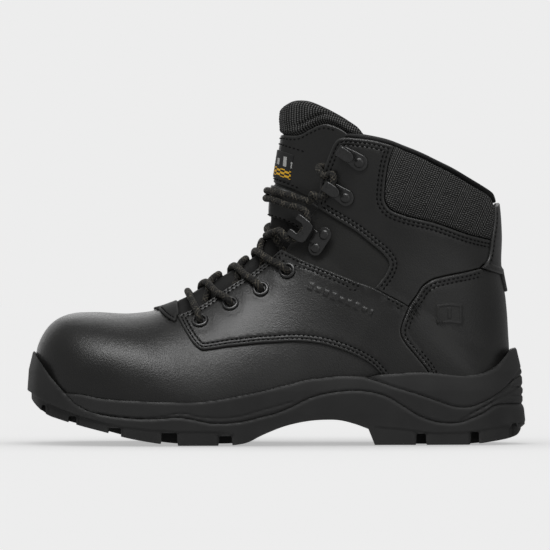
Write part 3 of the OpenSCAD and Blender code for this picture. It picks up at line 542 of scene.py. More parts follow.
def loft(rows, n):
    """Faces between rings of n points, and a cap on each end."""
    walls = [(i * n + j, i * n + (j + 1) % n, (i + 1) * n + (j + 1) % n, (i + 1) * n + j)
             for i in range(rows - 1) for j in range(n)]
    return walls + [tuple(reversed(range(n))), tuple((rows - 1) * n + j for j in range(n))]


def travelled(P):
    """Distance along a polyline at each of its points."""
    return np.concatenate([[0], np.cumsum(np.linalg.norm(np.diff(P, axis=0), axis=1))])


def bare(name, verts_mm, faces):
    me = bpy.data.meshes.new(name)
    me.from_pydata([tuple(v) for v in np.asarray(verts_mm) / 1000], [],
                   [tuple(int(i) for i in f) for f in faces])
    o = bpy.data.objects.new(name, me)
    scene.collection.objects.link(o)
    return o


def dress(o, mat, angle):
    o.data.materials.clear()
    o.data.materials.append(mat)
    o.data.shade_smooth()
    o.data.set_sharp_from_angle(angle=math.radians(angle))


def outward(me, triangles=False):
    """Faces turned outward; with triangles, those of five sides and more are cut up too."""
    bm = bmesh.new()
    bm.from_mesh(me)
    if triangles:
        bmesh.ops.triangulate(bm, faces=[f for f in bm.faces if len(f.verts) > 4])
    bmesh.ops.recalc_face_normals(bm, faces=bm.faces)
    bm.to_mesh(me)
    bm.free()


def make_object(name, verts_mm, faces, mat, body="boot", angle=40):
    o = bare(name, verts_mm, faces)
    o.data.validate()
    dress(o, mat, angle)
    if body:
        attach(o, body)
    return o


def attribute(o, name, values):
    a = o.data.attributes.get(name) or o.data.attributes.new(name, "FLOAT", "POINT")
    a.data.foreach_set("value", np.asarray(values, np.float32))


def wobble(p, scale, amount, seed=0.0):
    return np.array([noise.noise(Vector((a / scale + seed, b / scale, c / scale))) for a, b, c in p]) * amount


PANELS = {}
STITCH_PITCH, STITCH_LENGTH, STITCH_R = 3.0, 1.9, 0.47


class Curve:
    """One edge of a panel: side-view points on one side of the boot. A crisp one keeps its corners."""

    def __init__(self, points, side, sewn=False, crisp=False):
        self.points, self.side, self.sewn, self.crisp = points, side, sewn, crisp


def panel(name, curves, kind, h0, h1, mat, body="boot", step=1.3, grid=2.2, rounding=0.9, rows=(), groove=0.4,
          wave=0.1, bottom=None, top=None, extra=None, pillow=0.0, attr=(), detail=(),
          pitch=STITCH_PITCH):
    """A closed piece of the upper, bounded by edge curves, between two lifts of the skin.
    kind: 'top' crosses the top line, 'heel' crosses the heel line, 'side' stays on one side."""
    q0 = 1.0 if kind == "heel" else 0.0
    loop, sewn = [], []
    for c in curves:
        if isinstance(c, np.ndarray):
            uq, flag = c, False
        else:
            p = even(np.array(c.points, float), 1.0) if c.crisp else smooth(c.points, 1.0)
            uq, flag = place(p[:, 0], p[:, 1], c.side, h1, kind == "heel"), c.sewn
        P = lifted(*uq.T, h1)
        d = travelled(P)
        n = max(1, int(round(d[-1] / step)))
        t = np.linspace(0, d[-1], n + 1)
        uq = np.stack([np.interp(t, d, uq[:, 0]), np.interp(t, d, uq[:, 1])], 1)
        if loop and np.linalg.norm(lifted(*loop[-1][-1:].T, h1) - lifted(*uq[:1].T, h1)) < 0.8 * step:
            uq = uq[1:]
        loop.append(uq)
        sewn.append(np.full(len(uq), flag))
    B = np.concatenate(loop)
    S = np.concatenate(sewn)
    P3 = lifted(*B.T, h1)
    keep = np.linalg.norm(P3 - np.roll(P3, 1, 0), axis=1) >= 0.35 * step
    B, S = B[keep], S[keep]
    n = len(B)
    X, Y = flat(*B.T, q0)
    area = 0.5 * np.sum(X * np.roll(Y, -1) - np.roll(X, -1) * Y)
    if area < 0:
        B, S = B[::-1].copy(), S[::-1].copy()
    P3 = lifted(*B.T, h1)
    dense = np.concatenate([P3, (P3 + np.roll(P3, -1, 0)) / 2])
    sd = np.concatenate([S, S & np.roll(S, -1)])
    edge_sewn = dense[sd] if sd.any() else None

    def inward(d):
        """The edge's places moved in by d mm along the skin."""
        N = normals(*B.T)
        T = unit(np.roll(P3, -1, 0) - np.roll(P3, 1, 0))
        D = np.cross(N, T)
        ju, jq = ((lifted(*(B + k).T, h1) - lifted(*(B - k).T, h1)) / (2 * sum(k))
                  for k in ([0.01, 0], [0, 0.004]))
        a, b, c = (ju * ju).sum(1), (ju * jq).sum(1), (jq * jq).sum(1)
        e, f = (ju * D).sum(1) * d, (jq * D).sum(1) * d
        det = np.maximum(a * c - b * b, 1e-9)
        return np.stack([B[:, 0] + (c * e - b * f) / det, B[:, 1] + (a * f - b * e) / det], 1)

    inner = []
    for d in sorted({0.12, 0.35, 0.75, 1.3, *(r + k for r in rows for k in (-0.7, 0, 0.7))}):
        uq = inward(d)
        ok = np.isfinite(uq).all(1) & (uq[:, 0] > 0) & (uq[:, 0] < LAST)
        if d > 1.4:
            ok &= S
        P = lifted(*uq.T, h1)
        ok &= near(P, dense) > d * 0.86
        inner.append(uq[ok])
    # Even grid of places inside
    lo, hi = B.min(0), B.max(0)
    far = (max(rows) + 1.6) if rows else 2.2
    us = [lo[0]]
    qm = (lo[1] + hi[1]) / 2
    while us[-1] < hi[0]:
        l = np.linalg.norm(skin(us[-1] + 0.02, qm) - skin(us[-1] - 0.02, qm)) / 0.04 if us[-1] > 0.03 else 10
        us.append(us[-1] + grid / max(l, 2))
    cand = []
    for k, u in enumerate(us):
        qs = np.linspace(lo[1], hi[1], 200)
        pp = skin(np.full(200, u), qs)
        d = travelled(pp)
        m = max(2, int(d[-1] / grid))
        t = (np.arange(m) + (0.5 if k % 2 else 0.0)) * grid
        cand.append(np.stack([np.full(m, u), np.interp(t, d, qs)], 1))
    cand = np.concatenate(cand)
    P = lifted(*cand.T, h1)
    dd = near(P, dense)
    ok = dd > 2.0
    if edge_sewn is not None:
        ok &= near(P, edge_sewn) > far
    inner.append(cand[ok])
    for a, b, half, side in detail:
        a, b = np.array(a, float), np.array(b, float)
        t = unit((b - a)[None])[0]
        L, W = np.meshgrid(np.arange(0, np.linalg.norm(b - a), 0.5), np.arange(-half, half + 0.1, 0.5))
        xz = a + L.reshape(-1, 1) * t + W.reshape(-1, 1) * np.array([-t[1], t[0]])
        inner.append(place(xz[:, 0], xz[:, 1], side, h1, kind == "heel"))
    inner = np.concatenate(inner)
    # thin out points that crowd each other
    cells = np.floor(lifted(*inner.T, h1) / 0.32).astype(int)
    chosen = np.sort(np.unique(cells, axis=0, return_index=True)[1])
    pts = np.concatenate([B, inner[chosen]])
    X, Y = flat(*pts.T, q0)
    points = [Vector((a, b)) for a, b in zip(X, Y)]
    vs, _, fs, vid, _, _ = delaunay_2d_cdt(points, [], [list(range(n))], 1, 1e-4)
    uq = np.empty((len(vs), 2))
    known = np.zeros(len(vs), bool)
    for i, ids in enumerate(vid):
        if ids:
            uq[i] = pts[ids[0]]
            known[i] = True
    tri = np.array([f for f in fs if all(known[i] for i in f)], int)
    used = np.unique(tri)
    back = -np.ones(len(vs), int)
    back[used] = np.arange(len(used))
    tri, uq = back[tri], uq[used]
    # orientation: counter-clockwise in (along, across) looks outward
    a, b, c = (np.stack(flat(uq[tri[:, k], 0], uq[tri[:, k], 1], q0), 1) for k in range(3))
    cw = (b[:, 0] - a[:, 0]) * (c[:, 1] - a[:, 1]) - (b[:, 1] - a[:, 1]) * (c[:, 0] - a[:, 0]) < 0
    tri[cw] = tri[cw][:, ::-1]
    P = lifted(*uq.T, h1)
    d = near(P, dense)
    ds_ = near(P, edge_sewn) if edge_sewn is not None else np.full(len(P), 99.0)
    base_top = np.full(len(P), float(h1)) if top is None else top(*uq.T)
    h = base_top - round_off(d, rounding)
    h += wobble(P, 22.0, wave) * fade(d, 0.5, 6) + wobble(P, 7.0, wave * 0.35, 5) * fade(d, 0.5, 3)
    for r in rows:
        h -= groove * np.exp(-((ds_ - r) / 0.5) ** 2)
    if rows:
        h += 0.10 * np.exp(-((ds_ - (rows[0] * 0.5 + 0.3)) / 0.9) ** 2) * fade(d, 0.3, 1.0)
    if extra is not None:
        h += extra(uq, P, d)
    low = np.full(len(P), float(h0)) if bottom is None else bottom(*uq.T)
    if pillow:
        low = low + round_off(d, pillow)
        mid = (h + low) / 2
        h, low = np.maximum(h, mid + 0.05), np.minimum(low, mid - 0.05)
    top_v = lifted(*uq.T, h)
    bot_v = lifted(*uq.T, low)
    m = len(top_v)
    edges = {(t[k], t[(k + 1) % 3]): 1 for t in tri for k in range(3)}
    rim = [(i, j) for i, j in edges if (j, i) not in edges]
    faces = [tuple(t) for t in tri] + [tuple(t[::-1] + m) for t in tri]
    faces += [(j, i, i + m, j + m) for i, j in rim]
    o = make_object(name, np.concatenate([top_v, bot_v]), faces, mat, body)
    # edge: closeness to the rim, which the leather paints lighter as edge wear and as a painted highlight.
    attribute(o, "edge", np.concatenate([np.exp(-(d / 0.8) ** 2), np.zeros(m)]))
    # Painted shade along the stitch grooves, kept at the top face's points.
    groove_shade = np.zeros(m)
    for r in rows:
        groove_shade = np.maximum(groove_shade, np.exp(-((ds_ - r) / 0.55) ** 2))
    attribute(o, "groove_shade", np.concatenate([groove_shade, np.zeros(m)]))
    for key, f in attr:
        vals = f(uq, P, d)
        attribute(o, key, np.concatenate([vals, vals]))
    PANELS[name] = dict(S=S, h1=h1, edge_sewn=edge_sewn, inward=inward, obj=o, uq=uq, d=d, body=body,
                        count=m)
    for r in rows:
        sew_row(name, r, pitch)
    return o


# ---------------------------------------------------------------- sewing
STITCH_V, STITCH_F = {}, {}


def sew(uq, lift, body="boot", pitch=STITCH_PITCH, up=0.05):
    """A row of stitches along places uq of the skin. lift is a height, or one for each place."""
    P = lifted(*uq.T, lift)
    d = travelled(P)
    if d[-1] < pitch:
        return
    N = normals(*uq.T)
    count = int(d[-1] / pitch)
    V, F = STITCH_V.setdefault(body, []), STITCH_F.setdefault(body, [])
    start = (d[-1] - count * pitch) / 2
    turn = np.arange(6) * math.pi / 3
    for i in range(count):
        ts = start + (i + 0.5) * pitch + np.linspace(-0.5, 0.5, 5) * STITCH_LENGTH
        pc = np.stack([np.interp(ts, d, P[:, k]) for k in range(3)], 1)
        nn = unit(np.stack([np.interp(ts, d, N[:, k]) for k in range(3)], 1))
        bb = np.cross(nn, unit(np.gradient(pc, axis=0)))
        rise = np.array([-0.3, 0.06, 0.16, 0.06, -0.3]) + up
        rad = np.array([0.5, 0.92, 1.0, 0.92, 0.5]) * STITCH_R
        base = 30 * len(V)
        V += [np.concatenate([pc[k] + np.outer(rise[k] + rad[k] * 0.8 * np.sin(turn), nn[k])
                              + np.outer(rad[k] * np.cos(turn), bb[k]) for k in range(5)])]
        F += [tuple(base + k for k in reversed(f)) for f in loft(5, 6)]


def sew_row(name, r, pitch):
    """Stitches at distance r inside the sewn edges of a panel."""
    p = PANELS[name]
    uq = p["inward"](r)
    P = lifted(*uq.T, p["h1"])
    ok = p["S"] & (near(P, p["edge_sewn"]) > 0.93 * r)
    n = len(ok)
    if ok.all():
        runs = [list(range(n)) + [0]]
    else:
        start = [i for i in range(n) if ok[i] and not ok[i - 1]][0]
        runs = [[]]
        for i in ((start + k) % n for k in range(n)):
            if ok[i]:
                if runs[-1] and np.linalg.norm(P[i] - P[runs[-1][-1]]) > 6:
                    runs.append([])
                runs[-1].append(i)
    for run in runs:
        if len(run) > 3:
            sew(uq[run], p["h1"] - 0.2, p["body"], pitch, up=0.06)


def finish_sewing():
    for body, V in STITCH_V.items():
        o = make_object("stitching_" + body, np.concatenate(V), STITCH_F[body], thread, body)


# ---------------------------------------------------------------- edges seen from the side, in mm
VAMP_REAR = [
    (77, 41), (76, 50), (65, 58), (54, 64.5), (43, 69), (32, 72), (20, 73.5), (0, 73.5), (-20, 72),
    (-38, 69.5), (-44, 70.5), (-48.5, 76), (-50.5, 82.5)]
QUARTER_LOW = [
    (68, 41.5), (60, 50), (50, 56), (40, 60), (30, 63), (20, 64.5), (10, 65), (0, 64.5), (-10, 64),
    (-20, 63), (-30, 62), (-40, 60.5), (-46, 60.2), (-50, 63), (-55, 70), (-61, 80.6)]
FACING = [
    (-61, 80.6), (-53, 83.7), (-46.4, 86.8), (-36, 93.5), (-25.8, 100.2), (-15.1, 106.5), (-5, 114),
    (3.7, 121.7)]
QUARTER_TOP = [
    (3.7, 121.7), (10, 118.5), (20, 113.8), (30, 110), (40, 106), (50, 102), (62, 97.5), (70, 93.2),
    (80, 88), (83, 86)]
HEEL_FRONT = [(97, 41), (95, 46), (88, 55), (80, 65), (78, 70), (79, 76), (83, 86)]
HEEL_TOP = [(88, 93), (92, 99), (98, 103), (105, 105), (120, 108), (128, 110)]
EYESTAY = [(26, 148), (27, 155), (28, 165), (30, 172), (33, 180), (36, 187), (39, 190.6), (45, 191.6)]
COLLAR_TOP = [(45, 191.6), (60, 190), (72, 187)]
PAD_FRONT = [
    (74, 186), (71, 178), (69, 168), (68, 158), (68, 152), (71, 147), (80, 143), (100, 138), (120, 131),
    (135, 127)]
PAD_TOP = [
    (137.5, 149), (134, 155), (130, 157.7), (120, 163.7), (110, 169.7), (100, 174.7), (90, 179.7),
    (80, 183.7)]
INSET = [(62, 97.9), (69, 107), (71, 113), (68, 118), (60, 125), (50, 133), (42, 138), (35, 142), (27, 147)]
EYELETS = [(-47, 77.5), (-28, 88), (-9, 97), (7.5, 108.5)]
FACE, UNDER = 7.0, 5.2  # lifts of the outer leather's two faces over the skin
FOLD_LOW, FOLD_HIGH = 16.37, 16.53


def moved(points, dx, dz):
    return [(x + dx, z + dz) for x, z in points]


def facing_at(h):
    return moved(FACING[1:], (FACE - h) * 0.3, -(FACE - h) * 0.6)


def eyestay_at(h):
    return moved(EYESTAY, (FACE - h) * 0.2, 0)


def place(x, z, side, h, heel=False):
    u, s = find_at(x, z, side, h)
    q = side * s
    if heel and side < 0:
        q = 2 - s
    return np.stack([u, q], 1)


def both(x, z, h, heel=False):
    """The two places seen at (x, z), on the outer and the inner side."""
    return [place(x, z, side, h, heel)[0] for side in (-1, 1)]


def line(*uq, n=24):
    uq = np.array(uq, float)
    d = np.linspace(0, len(uq) - 1, n * (len(uq) - 1) + 1)
    return np.stack([np.interp(d, range(len(uq)), uq[:, k]) for k in range(2)], 1)


# ---------------------------------------------------------------- upper
def build_vamp():
    h = 5.0
    rear = VAMP_REAR + [(-60, 79.2), (-66.5, 77.6)]
    (lat0, med0), (lat1, med1) = both(77, 41, h), both(-66.5, 77.6, h)
    o = panel("vamp", [
        line(lat0, (10, -0.95), (0.35, -0.95), n=60), line((0.35, -0.95), (0.35, 0.95), n=60),
        line((0.35, 0.95), (10, 0.95), med0, n=60), Curve(rear, 1, crisp=True),
        line(med1, (7.3, 0), lat1), Curve(rear[::-1], -1, crisp=True)
    ], "top", 3.2, h, leather, grid=2.4, wave=0.16)
    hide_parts("vamp")


def build_quarter(side, tag):
    o = panel("quarter_" + tag, [
        Curve(QUARTER_LOW, side, True), Curve(FACING, side, True), Curve(QUARTER_TOP, side, True),
        Curve(HEEL_FRONT[::-1], side), Curve([(97, 41), (68, 41.5)], side)
    ], "side", UNDER, FACE, leather, rows=(1.8, 4.0), extra=quarter_marks(side),
        detail=[((19.5, 99.7), (60.5, 82), 3.2, -1)] if side < 0 else [])
    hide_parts("quarter_" + tag)


def quarter_marks(side):
    """Plain raised bars along the quarter's upper edge, and soft dips round the eyelets."""
    def f(uq, P, d):
        h = np.zeros(len(P))
        if side < 0:
            a, b = np.array([20.0, 99.5]), np.array([62.0, 81.5])
            pitch = 5.2
            t = unit((b - a)[None])[0]
            n = np.array([-t[1], t[0]])
            rel = P[:, [0, 2]] - a
            l, w = rel @ t, rel @ n
            k = np.floor(l / pitch)
            on = (l > 0) & (l < 44)
            tall = np.where(k % 3 == 0, 2.4, np.where(k % 3 == 1, 1.6, 2.0))
            x = np.abs((l - k * pitch) - 2.3)
            bar = np.clip((1.75 - x) / 0.5, 0, 1) * np.clip((tall - np.abs(w)) / 0.5, 0, 1)
            h += np.where(on, 0.5 * bar, 0)
        for ex, ez in EYELETS:
            r = np.hypot(P[:, 0] - ex, P[:, 2] - ez)
            h -= 0.35 * np.exp(-((r - 5.4) / 2.0) ** 2) * (r < 12)
        return h
    return f


def build_shaft(side, tag):
    o = panel("shaft_panel_" + tag, [
        Curve(EYESTAY, side, True), Curve(COLLAR_TOP, side, True),
        Curve([(72, 187), (74, 186)], side), Curve(PAD_FRONT, side, True),
        Curve([(135, 127), (134.7, 126.8), (133.7, 120.2), (131.7, 114.4), (127.8, 110.4)], side),
        Curve(moved(HEEL_TOP[::-1], -0.2, 0.4) + [(82.7, 86.6)], side),
        Curve([(82.7, 86.6), (80, 88.4), (70, 93.6), (62, 97.9)], side),
        Curve(INSET, side, True), Curve([(27, 147), (26, 148)], side)
    ], "side", UNDER, FACE, leather, rows=(2.4, 4.6))
    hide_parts("shaft_panel_" + tag)


def build_ankle(side, tag):
    front = facing_at(2.6)
    o = panel("ankle_panel_" + tag, [
        Curve([(65.5, 59.2), (60, 62.2)] + moved(VAMP_REAR[4:], 0.4, 0.5), side, crisp=True),
        Curve(front[1:] + [(10.7, 127.5), (17.6, 138)] + eyestay_at(4.4)[:1], side, crisp=True),
        Curve(eyestay_at(4.4), side), Curve([eyestay_at(4.4)[-1], (60, 189.6), (72, 186)], side),
        Curve([(72, 186), (69.4, 178), (67.4, 168), (66.4, 158), (66.4, 152), (71, 145.4), (80, 141.4),
               (100, 136.4), (120, 129.4), (133, 125.5)], side),
        Curve([(133, 125.5), (133, 119.5), (94.8, 112.6), (71.6, 97.6), (61.7, 75), (65.5, 59.2)], side,
              crisp=True)
    ], "side", 1.5, 5.0, nubuck, wave=0.14, grid=2.6)
    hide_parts("ankle_panel_" + tag)


def heel_mark(uq, P, d):
    """A plain raised shield outline on the outer side of the heel."""
    x, z = P[:, 0] - 108.5, P[:, 2] - 82
    r = np.maximum(np.abs(x) / 7.8, np.abs(z + 0.12 * np.abs(x)) / 5.8)
    ring = np.clip((0.14 - np.abs(r - 0.92)) / 0.08, 0, 1)
    bar = np.clip((1.3 - np.abs(x)) / 0.5, 0, 1) * (np.abs(z) < 3.2)
    return np.where(P[:, 1] < 0, 0.32 * np.maximum(ring, bar), 0.0)


def build_heel():
    h = 7.5
    (low_l, low_m), (top_l, top_m) = both(97.4, 41, h, True), both(128, 109.6, h, True)
    front = moved(HEEL_FRONT, 0.4, 0)
    top = front[-1:] + moved(HEEL_TOP, 0, -0.4)
    o = panel("heel_panel", [
        Curve(front, -1, True), Curve(top, -1, True),
        line(top_l, (17.86, 1), top_m), Curve(top[::-1], 1, True), Curve(front[::-1], 1, True),
        line(low_m, (13.4, 0.955), (14.6, 0.97), (15.05, 1), (14.6, 1.03), (13.4, 1.045), low_l)
    ], "heel", UNDER, h, leather, rows=(2.4, 4.6), extra=heel_mark, detail=[((100.2, 82), (116.8, 82), 7, -1)])
    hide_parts("heel_panel")


def build_backstay():
    h = 8.4
    side_line = [(128.5, 110.2), (132.2, 114), (134.2, 120), (135.2, 127.4), (137.3, 138), (138, 148.4)]
    a, b = both(*side_line[0], h, True), both(*side_line[-1], h, True)
    o = panel("backstay", [
        Curve(side_line, -1, True), line(b[0], (20.1, 1), b[1]), Curve(side_line[::-1], 1, True),
        line(a[1], (17.7, 0.97), (17.25, 0.985), (17.15, 1), (17.25, 1.015), (17.7, 1.03), a[0])
    ], "heel", UNDER, h, leather, rows=(1.9,), grid=1.3, top=lambda u, q: h + 1.1 * fade(18.0 - u, 0, 0.14),
        bottom=lambda u, q: UNDER + 2.4 * fade(18.0 - u, 0, 0.14))
    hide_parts("backstay")


def build_throat_tab():
    h = 6.9
    left = [(-73.3, 85.2), (-68, 80.5), (-63, 77.5), (-61.8, 78.6), (-61.6, 80.9), (-60.4, 81.6), (-62, 91)]
    a, b = both(*left[0], h), both(*left[-1], h)
    runs = [(left[:3], True), (left[2:4], False), (left[3:5], False), (left[4:], False)]
    o = panel("throat_tab", [
        *(Curve(run, -1, sewn) for run, sewn in runs), line(b[0], (7.42, 0), b[1]),
        *(Curve(run[::-1], 1, sewn) for run, sewn in reversed(runs)), line(a[1], (6.8, 0), a[0])
    ], "top", UNDER, h, dull_leather, rows=(1.8,), grid=1.8, pitch=2.4)
    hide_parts("throat_tab")


build_vamp()
for side, tag in ((-1, "lateral"), (1, "medial")):
    build_quarter(side, tag)
    build_shaft(side, tag)
    build_ankle(side, tag)
build_heel()
build_backstay()
build_throat_tab()


# ---------------------------------------------------------------- tongue
def wing(u):
    return np.interp(u, [7.0, 8, 10, 14, 18, 20, 22, 23], [0.3, 0.32, 0.30, 0.31, 0.32, 0.35, 0.41, 0.43])


def shoulder(u):
    return np.interp(u, [7.5, 8, 9, 10, 12, 14, 18, 20, 22],
                     [0.2, 0.205, 0.185, 0.172, 0.18, 0.2, 0.25, 0.28, 0.32])


def tongue_top(u, q):
    high = 2.9 + 2.1 * fade(u, 7.1, 7.35) + fade(u, 7.42, 7.62)
    return high - (high + 5.8) * fade(np.abs(q), 0.015, shoulder(u))


def tongue_depth(u, q):
    return 6 - 3.4 * fade(np.abs(q), 0.03, shoulder(u))


def across_tongue(u, reach):
    w = wing(u) * reach
    return line((u, -w), (u, w), n=60)


def sides(us, w):
    return np.stack([us, -w], 1), np.stack([us, w], 1)


def strip_edges(u0, u1, reach=1.0):
    us = np.linspace(u0, u1, 60)
    w = wing(us) * reach
    left, right = sides(us, w)
    return [line((u1, -w[-1]), (u1, w[-1]), n=40), right[::-1], line((u0, w[0]), (u0, -w[0]), n=40), left]


def at_depth(f):
    return lambda u, q: tongue_top(u, q) - f * tongue_depth(u, q)


def build_tongue():
    def under_lace(u, q):
        crossed = fade(u, 7.8, 8.3) * (1 - fade(u, 11.8, 12.6))
        return tongue_top(u, q) + 1.1 * (1 - fade(np.abs(q), 0.04, 0.14)) * crossed
    o = panel("tongue_lower_leather", strip_edges(6.95, FOLD_LOW), "top", 0, 1, dull_leather, top=under_lace,
              bottom=at_depth(0.27), wave=0.2)
    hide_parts("tongue_lower_leather")
    o = panel("tongue_lower_padding", strip_edges(7.66, FOLD_LOW, 0.99), "top", 0, 1, lining_cloth,
              top=at_depth(0.34), bottom=at_depth(1), wave=0.1, pillow=1.2, grid=3.5)
    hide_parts("tongue_lower_padding")
    o = panel("tongue_band", strip_edges(13, 16.33, 0.6), "top", 0, 1, leather, top=at_depth(-0.27),
              bottom=at_depth(-0.12), wave=0.15)
    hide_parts("tongue_band")
    for u in (13.25, 16.05):
        uq = across_tongue(u, 0.57)
        sew(uq, at_depth(-0.27)(*uq.T))
    # upper part: leather shield with a waved top edge, and the mesh roll above it
    edge = [(44.5, 192.5), (38, 197), (28, 200), (20, 196.5), (14, 192.6), (8, 192.4)]
    rim = np.array([place(x, z, -1, 1.0)[0] for x, z in edge])
    e1 = even(smooth(rim * [10, 100]), 1.0) / [10, 100]
    e1 = np.concatenate([e1, [[rim[-1, 0] + 0.02, 0.0]]])
    e2 = (e1 * [1, -1])[::-1][1:]
    us = np.linspace(FOLD_HIGH, e1[0, 0], 50)
    w = np.interp(us, [FOLD_HIGH, e1[0, 0]], [wing(FOLD_HIGH), -e1[0, 1]])
    left, right = sides(us, w)
    o = panel("tongue_upper_leather",
              [left, e1, e2, right[::-1], line((FOLD_HIGH, w[0]), (FOLD_HIGH, -w[0]), n=40)],
              "top", 0, 1, leather, body="tongue", top=lambda u, q: tongue_top(u, q) + 0.3,
              bottom=at_depth(0.27), wave=0.15)
    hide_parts("tongue_upper_leather")
    e1i = e1 - [0.26, 0]
    rim = np.concatenate([e1i, (e1i * [1, -1])[::-1][1:]])[6:-6]
    sew(rim, tongue_top(*rim.T) + 0.3, "tongue")
    o = panel("tongue_upper_padding", strip_edges(FOLD_HIGH, 19.45, 0.99), "top", 0, 1, lining_cloth,
              body="tongue",
              top=at_depth(0.34), bottom=at_depth(1), wave=0.1, pillow=1.2, grid=3.5)
    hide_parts("tongue_upper_padding")

    order = np.argsort(-e1[:, 1])
    rim_q, rim_u = -e1[order, 1], e1[order, 0]

    def roll_top(u, q):
        past = u - np.interp(np.abs(q), rim_q, rim_u)
        channel = np.exp(-((past - 0.62) / 0.1) ** 2) * fade(np.abs(q), 0.08, 0.2)
        h = tongue_top(u, q) - 2.0 + 3.4 * fade(past, -0.06, 0.34)
        return h + 0.9 * fade(past, 0.3, 1.2) - 1.5 * channel

    def roll_bottom(u, q):
        return tongue_top(u, q) - tongue_depth(u, q) - 1.2 * fade(u, 20.2, 21.4)

    def waffle(uq, P, d):
        X, Y = flat(*uq.T, 0.0)
        a, b = np.cos(X * 2 * math.pi / 2.1) * 0.5 + 0.5, np.cos(Y * 2 * math.pi / 1.9) * 0.5 + 0.5
        return 0.25 * (a * b) * fade(d, 0.3, 2)

    base_u, tip_u = 19.5, 21.3
    us = np.linspace(base_u, tip_u, 40)
    w = np.interp(us, [base_u, 20.3, 21.0, tip_u], [0.30, 0.385, 0.415, 0.412])
    left, right = sides(us, w)
    crown = [(21.3, 0.412), (21.62, 0.39), (21.86, 0.35), (22.06, 0.3), (22.3, 0.22), (22.4, 0.16), (22.3, 0.1),
             (22.0, 0.05), (21.8, 0.015)]
    crown = np.array([(u, -q) for u, q in crown] + crown[::-1])
    crown = even(smooth(crown * [10, 100]), 1.0) / [10, 100]
    o = panel("tongue_top_roll", [left, crown, right[::-1], line((base_u, w[0]), (base_u, -w[0]), n=40)],
              "top", 0, 1, mesh_cloth, body="tongue", top=roll_top, bottom=roll_bottom, rounding=4.2,
              pillow=3.6, grid=0.62, step=0.9, wave=0.25, extra=waffle,
              attr=(("knit_a", lambda uq, P, d: flat(*uq.T, 0.0)[0]),
                    ("knit_b", lambda uq, P, d: flat(*uq.T, 0.0)[1])))
    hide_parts("tongue_top_roll")
    fold = panel("tongue_fold_strip", strip_edges(16.15, 16.75, 0.97), "top", 0, 1, leather, top=at_depth(0.12),
                 bottom=at_depth(0.26), body=None, wave=0.0, grid=1.0, step=0.9, rounding=0.2)
    a = lifted(16.25, 0, 4.0)[0] / 1000
    tuple(a + np.array([0.55, 0, 0.835]) * 0.0034)
    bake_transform(fold)
    lo, hi = 16.95, 18.75
    o = panel("tongue_label", strip_edges(lo, hi, 0.36), "top", 0, 1, label_cloth, body="tongue",
              top=at_depth(-0.20), bottom=at_depth(-0.08), wave=0.05, grid=0.7, step=0.9, rounding=0.4)
    uq = PANELS["tongue_label"]["uq"]
    X, Y = flat(*uq.T, 0.0)
    X0, X1 = np.interp((lo, hi), _tu, _run)
    t = (X - X0) / (X1 - X0)
    for key, vals in (("along", t), ("across", Y / 10)):
        attribute(o, key, np.concatenate([vals, vals]))
    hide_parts("tongue_label")
    for u in (16.85, 19.15):
        uq = across_tongue(u, 0.5)
        sew(uq, tongue_top(*uq.T) + 0.35, "tongue")


# ---------------------------------------------------------------- collar
WEAVE_TILT = math.radians(-24)
BAND_WIDE = 16.0


def weave_along(uq, P, d):
    return P[:, 0] * math.cos(WEAVE_TILT) + P[:, 2] * math.sin(WEAVE_TILT)


def weave_across(uq, P, d):
    """Across the ribs of a herringbone."""
    band = weave_along(uq, P, d) / BAND_WIDE
    zig = np.abs(band - np.floor(band) - 0.5) * 2 * BAND_WIDE * 0.45
    return -P[:, 0] * math.sin(WEAVE_TILT) + P[:, 2] * math.cos(WEAVE_TILT) + zig


def swell(p, cap):
    """Cloth under inner pressure, its rim and underside held: returns how far each place of the top rises."""
    o, m = p["obj"], p["count"]
    held = np.concatenate([np.clip(1 - p["d"] / 2.5, 0, 1), np.ones(m)])
    g = o.vertex_groups.new(name="held")
    for i, wt in enumerate(held):
        if wt > 0:
            g.add([i], float(wt), "REPLACE")
    rest = np.array([v.co for v in o.data.vertices])
    big = 10.0
    o.data.transform(Matrix.Scale(big, 4))
    c = o.modifiers.new("cloth", "CLOTH")
    for key, v in dict(vertex_group_mass="held", quality=4, mass=0.2, tension_stiffness=12,
                       compression_stiffness=12, shear_stiffness=4, bending_stiffness=0.4, use_pressure=True,
                       uniform_pressure_force=4.0).items():
        setattr(c.settings, key, v)
    c.settings.effector_weights.gravity = 0
    c.collision_settings.use_collision = False
    for f in range(1, 21):
        scene.frame_set(f)
    dg = bpy.context.evaluated_depsgraph_get()
    me = o.evaluated_get(dg).to_mesh()
    now = np.array([v.co for v in me.vertices]) / big
    o.evaluated_get(dg).to_mesh_clear()
    o.modifiers.remove(c)
    scene.frame_set(1)
    n = normals(p["uq"][:, 0], p["uq"][:, 1])
    return np.clip(((now - rest)[:m] * n).sum(1) * 1000, -cap, cap)


